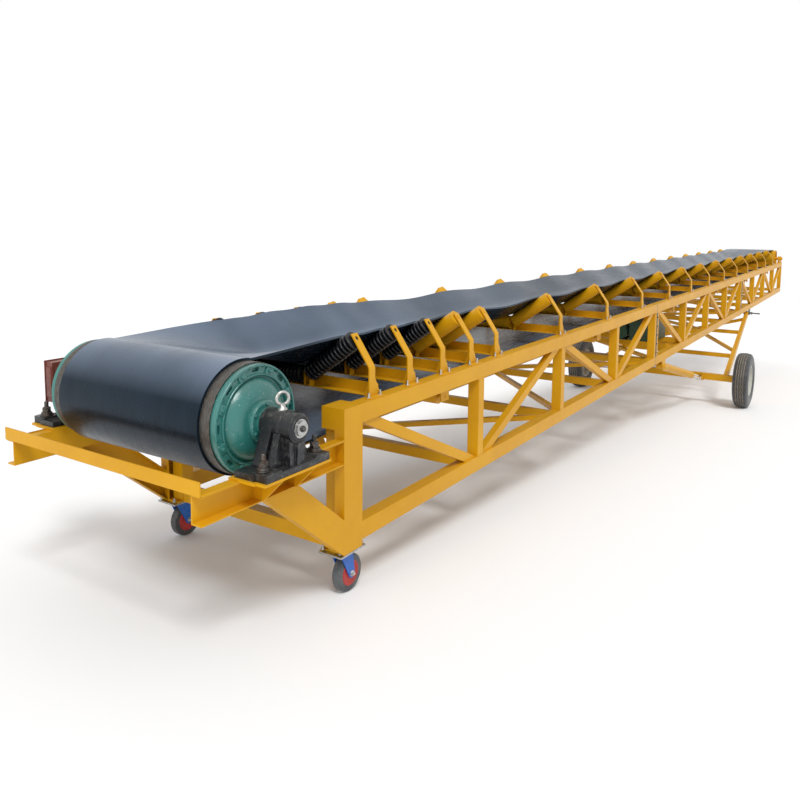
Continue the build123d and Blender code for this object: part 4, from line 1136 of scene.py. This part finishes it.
HUB_PROFILE = (
    (0, 0.0275), (0.022, 0.0275), (0.026, 0.0262), (0.048, 0.0256),
    (0.053, 0.0268), (0.058, 0.0276), (0.064, 0.0274), (0.068, 0.0245),
)
FORK_FACE = 0.0352


def caster_hub(builder, side_name):
    centre = joint_point(f"caster_spin_{side_name}")
    for way in WAYS:
        revolve(builder, HUB_PROFILE, 40, frame_along(centre, (0, way, 0)))


def caster_nuts(builder, side_name):
    centre = joint_point(f"caster_spin_{side_name}")
    for way in WAYS:
        spot = centre + Vector((0, way * FORK_FACE, 0))
        bolt(builder, spot, (0, way, 0), 0.014, 0.006)


for side_name, _ in SIDES:
    name, wheel = f"caster_hub_{side_name}", f"caster_wheel_{side_name}"
    add(name, wheel, caster_red, "caster_rubber", caster_hub, side_name, smooth=32)
    name, fork = f"caster_nuts_{side_name}", f"caster_fork_{side_name}"
    add(name, fork, zinc, "steel", caster_nuts, side_name)


# Road tyres: ribbed tread in place of the plain solids

TYRE_HALF, TYRE_R, TYRE_BORE = 0.1075, 0.405, 0.222
TREAD_HALF = TYRE_HALF - 0.03
TREAD_DROP = 0.012
RIBS = 5
GROOVE_HALF, GROOVE_DEPTH, GROOVE_EDGE = 0.006, 0.012, 0.002
ZIGZAG = 0.0022
TYRE_STEPS = 120
SIDEWALL = (
    (TYRE_BORE, -0.09),
    (TYRE_BORE + 0.012, -0.097),
    (TYRE_BORE + 0.03, -0.104),
    (TYRE_BORE + 0.07, -TYRE_HALF),
    (TYRE_R - 0.075, -TYRE_HALF + 0.002),
    (TYRE_R - 0.045, -TYRE_HALF + 0.009),
    (TYRE_R - 0.022, -TYRE_HALF + 0.02),
    (TYRE_R - TREAD_DROP, -TREAD_HALF),
)


def crown(y):
    """Radius of the tread at a distance from the tyre's middle plane."""
    return TYRE_R - TREAD_DROP * (y / TREAD_HALF) ** 2


def tyre_profile():
    """(radius, width) pairs round the tyre's section, and which steps of it are grooves."""
    profile = list(SIDEWALL)
    grooves = []
    width = 2 * TREAD_HALF / RIBS
    for i in range(RIBS):
        left = -TREAD_HALF + width * i
        right = left + width
        if i:
            grooves.append(len(profile) - 1)
            profile.append((crown(left) - GROOVE_DEPTH, left + GROOVE_HALF))
            profile.append((crown(left), left + GROOVE_HALF + GROOVE_EDGE))
        middle = (left + right) / 2
        profile.append((crown(middle), middle))
        if i < RIBS - 1:
            profile.append((crown(right), right - GROOVE_HALF - GROOVE_EDGE))
            profile.append((crown(right) - GROOVE_DEPTH, right - GROOVE_HALF))
    profile += [(radius, -y) for radius, y in reversed(SIDEWALL)]
    return profile, grooves


def ribbed_tyre(builder, side_name):
    axle = Vector(joint[f"wheel_spin_{side_name}"]["pos_m"])
    turned = Matrix.Translation(axle) @ Matrix.Rotation(-math.pi / 2, 4, "X")
    profile, grooves = tyre_profile()
    rings = []
    for radius, height in profile:
        treaded = radius > TYRE_R - 0.03 and abs(height) < TYRE_HALF - 0.032
        zig = ZIGZAG if treaded else 0.0
        ring = []
        for i, angle in enumerate(turns(TYRE_STEPS)):
            point = circle(radius, angle, height + (zig if i % 4 < 2 else -zig))
            ring.append(builder.verts.new(turned @ point))
        rings.append(ring)
    for number, (low, high) in enumerate(zip(rings, rings[1:] + rings[:1])):
        for face in bridged(builder, low, high):
            face.material_index = 1 if number in grooves else 0
    bmesh.ops.recalc_face_normals(builder, faces=builder.faces)


for side_name, _ in SIDES:
    name, wheel = f"ribbed_tyre_{side_name}", f"wheel_{side_name}"
    tread = add(name, wheel, tyre_black, "tyre", ribbed_tyre, side_name, smooth=32)
    tread.data.materials.append(tyre_groove)
    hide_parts(f"tyre_{side_name}")


# Wheel nuts on the rims

WHEEL_NUTS, NUT_CIRCLE_R, RIM_FACE = 6, 0.1, 0.022


def wheel_nuts(builder, side_name, side):
    centre = joint_point(f"wheel_spin_{side_name}")
    out = (boom_inverse.to_3x3() @ Vector((0, side, 0))).normalized()
    for angle in turns(WHEEL_NUTS):
        spot = centre + upright_circle(NUT_CIRCLE_R, angle) + out * RIM_FACE
        bolt(builder, spot, out, 0.014, 0.012)


for side_name, side in SIDES:
    name, wheel = f"wheel_nuts_{side_name}", f"wheel_{side_name}"
    add(name, wheel, zinc, "steel", wheel_nuts, side_name, side)


# Camera at the photograph's viewpoint, set up in the boom frame for an 800 by 800 picture

PICTURE = 800
SENSOR = 36
FOCAL_PIXELS = 743.0
HORIZON_ROW = 300.4
CAMERA_POINT = Vector((-2.8785, -2.9105, 1.6567))
YAW, PITCH, ROLL = math.radians(33.22), math.radians(6.02), math.radians(0.47)

scene = bpy.context.scene
level_reach = math.cos(PITCH)
forward = Vector((level_reach * math.cos(YAW), level_reach * math.sin(YAW), -math.sin(PITCH)))
level = Vector((math.sin(YAW), -math.cos(YAW), 0))
upright = level.cross(forward)
right = level * math.cos(ROLL) + upright * math.sin(ROLL)
up = upright * math.cos(ROLL) - level * math.sin(ROLL)
camera_data = bpy.data.cameras.new("photo_camera")
camera_data.sensor_width = SENSOR
camera_data.lens = FOCAL_PIXELS / PICTURE * SENSOR
camera_data.shift_y = -(PICTURE / 2 - HORIZON_ROW) / PICTURE
camera_data.clip_end = 200
camera = bpy.data.objects.new("photo_camera", camera_data)
scene.collection.objects.link(camera)
axes = Matrix((right, up, -forward)).transposed().to_4x4()
camera.matrix_world = boom @ Matrix.Translation(CAMERA_POINT) @ axes
scene.camera = camera


# Floor, just below the wheels

FLOOR_HALF, FLOOR_Z = 120.0, -0.0008
FLOOR_CORNERS = ((-1, -1), (1, -1), (1, 1), (-1, 1))

scene.view_settings.view_transform = "Standard"
floor_mesh = bpy.data.meshes.new("floor")
corners = [(FLOOR_HALF * x, FLOOR_HALF * y, FLOOR_Z) for x, y in FLOOR_CORNERS]
floor_mesh.from_pydata(corners, [], [(0, 1, 2, 3)])
floor = bpy.data.objects.new("floor", floor_mesh)
scene.collection.objects.link(floor)
floor_material, _, floor_shader = node_tree("floor_pale")
floor_shader.inputs["Base Color"].default_value = (0.96, 0.96, 0.96, 1)
floor_shader.inputs["Roughness"].default_value = 0.9
floor_mesh.materials.append(floor_material)


# Lamps


def add_sun(name, strength, direction, softness):
    """Sun along a direction, its disc's breadth given in degrees."""
    data = bpy.data.lights.new(name, "SUN")
    data.energy = strength
    data.angle = math.radians(softness)
    lamp = bpy.data.objects.new(name, data)
    lamp.rotation_euler = Vector(direction).to_track_quat("-Z", "Y").to_euler()
    scene.collection.objects.link(lamp)


add_sun("key_light", 1.55, (0.55, 0.56, -1.0), 18)
add_sun("fill_light", 0.6, (0.95, 0.12, -0.3), 40)


# World: soft light on the piece, plain white where it is seen, mirrored or seen through


def add_background(tree, colour, strength):
    background = tree.nodes.new("ShaderNodeBackground")
    background.inputs["Color"].default_value = colour
    background.inputs["Strength"].default_value = strength
    return background.outputs["Background"]


world = bpy.data.worlds.new("studio")
scene.world = world
world.use_nodes = True
world_tree = world.node_tree
world_tree.nodes.clear()
path = world_tree.nodes.new("ShaderNodeLightPath").outputs
rays = combined(world_tree, "MAXIMUM", path["Is Camera Ray"], path["Is Glossy Ray"])
rays = combined(world_tree, "MAXIMUM", rays, path["Is Transmission Ray"])
mixer = world_tree.nodes.new("ShaderNodeMixShader")
feed(world_tree, rays, mixer.inputs["Fac"])
feed(world_tree, add_background(world_tree, (0.97, 0.985, 1.0, 1), 0.68), mixer.inputs[1])
feed(world_tree, add_background(world_tree, (1, 1, 1, 1), 1.0), mixer.inputs[2])
output = world_tree.nodes.new("ShaderNodeOutputWorld")
world_tree.links.new(mixer.outputs["Shader"], output.inputs["Surface"])
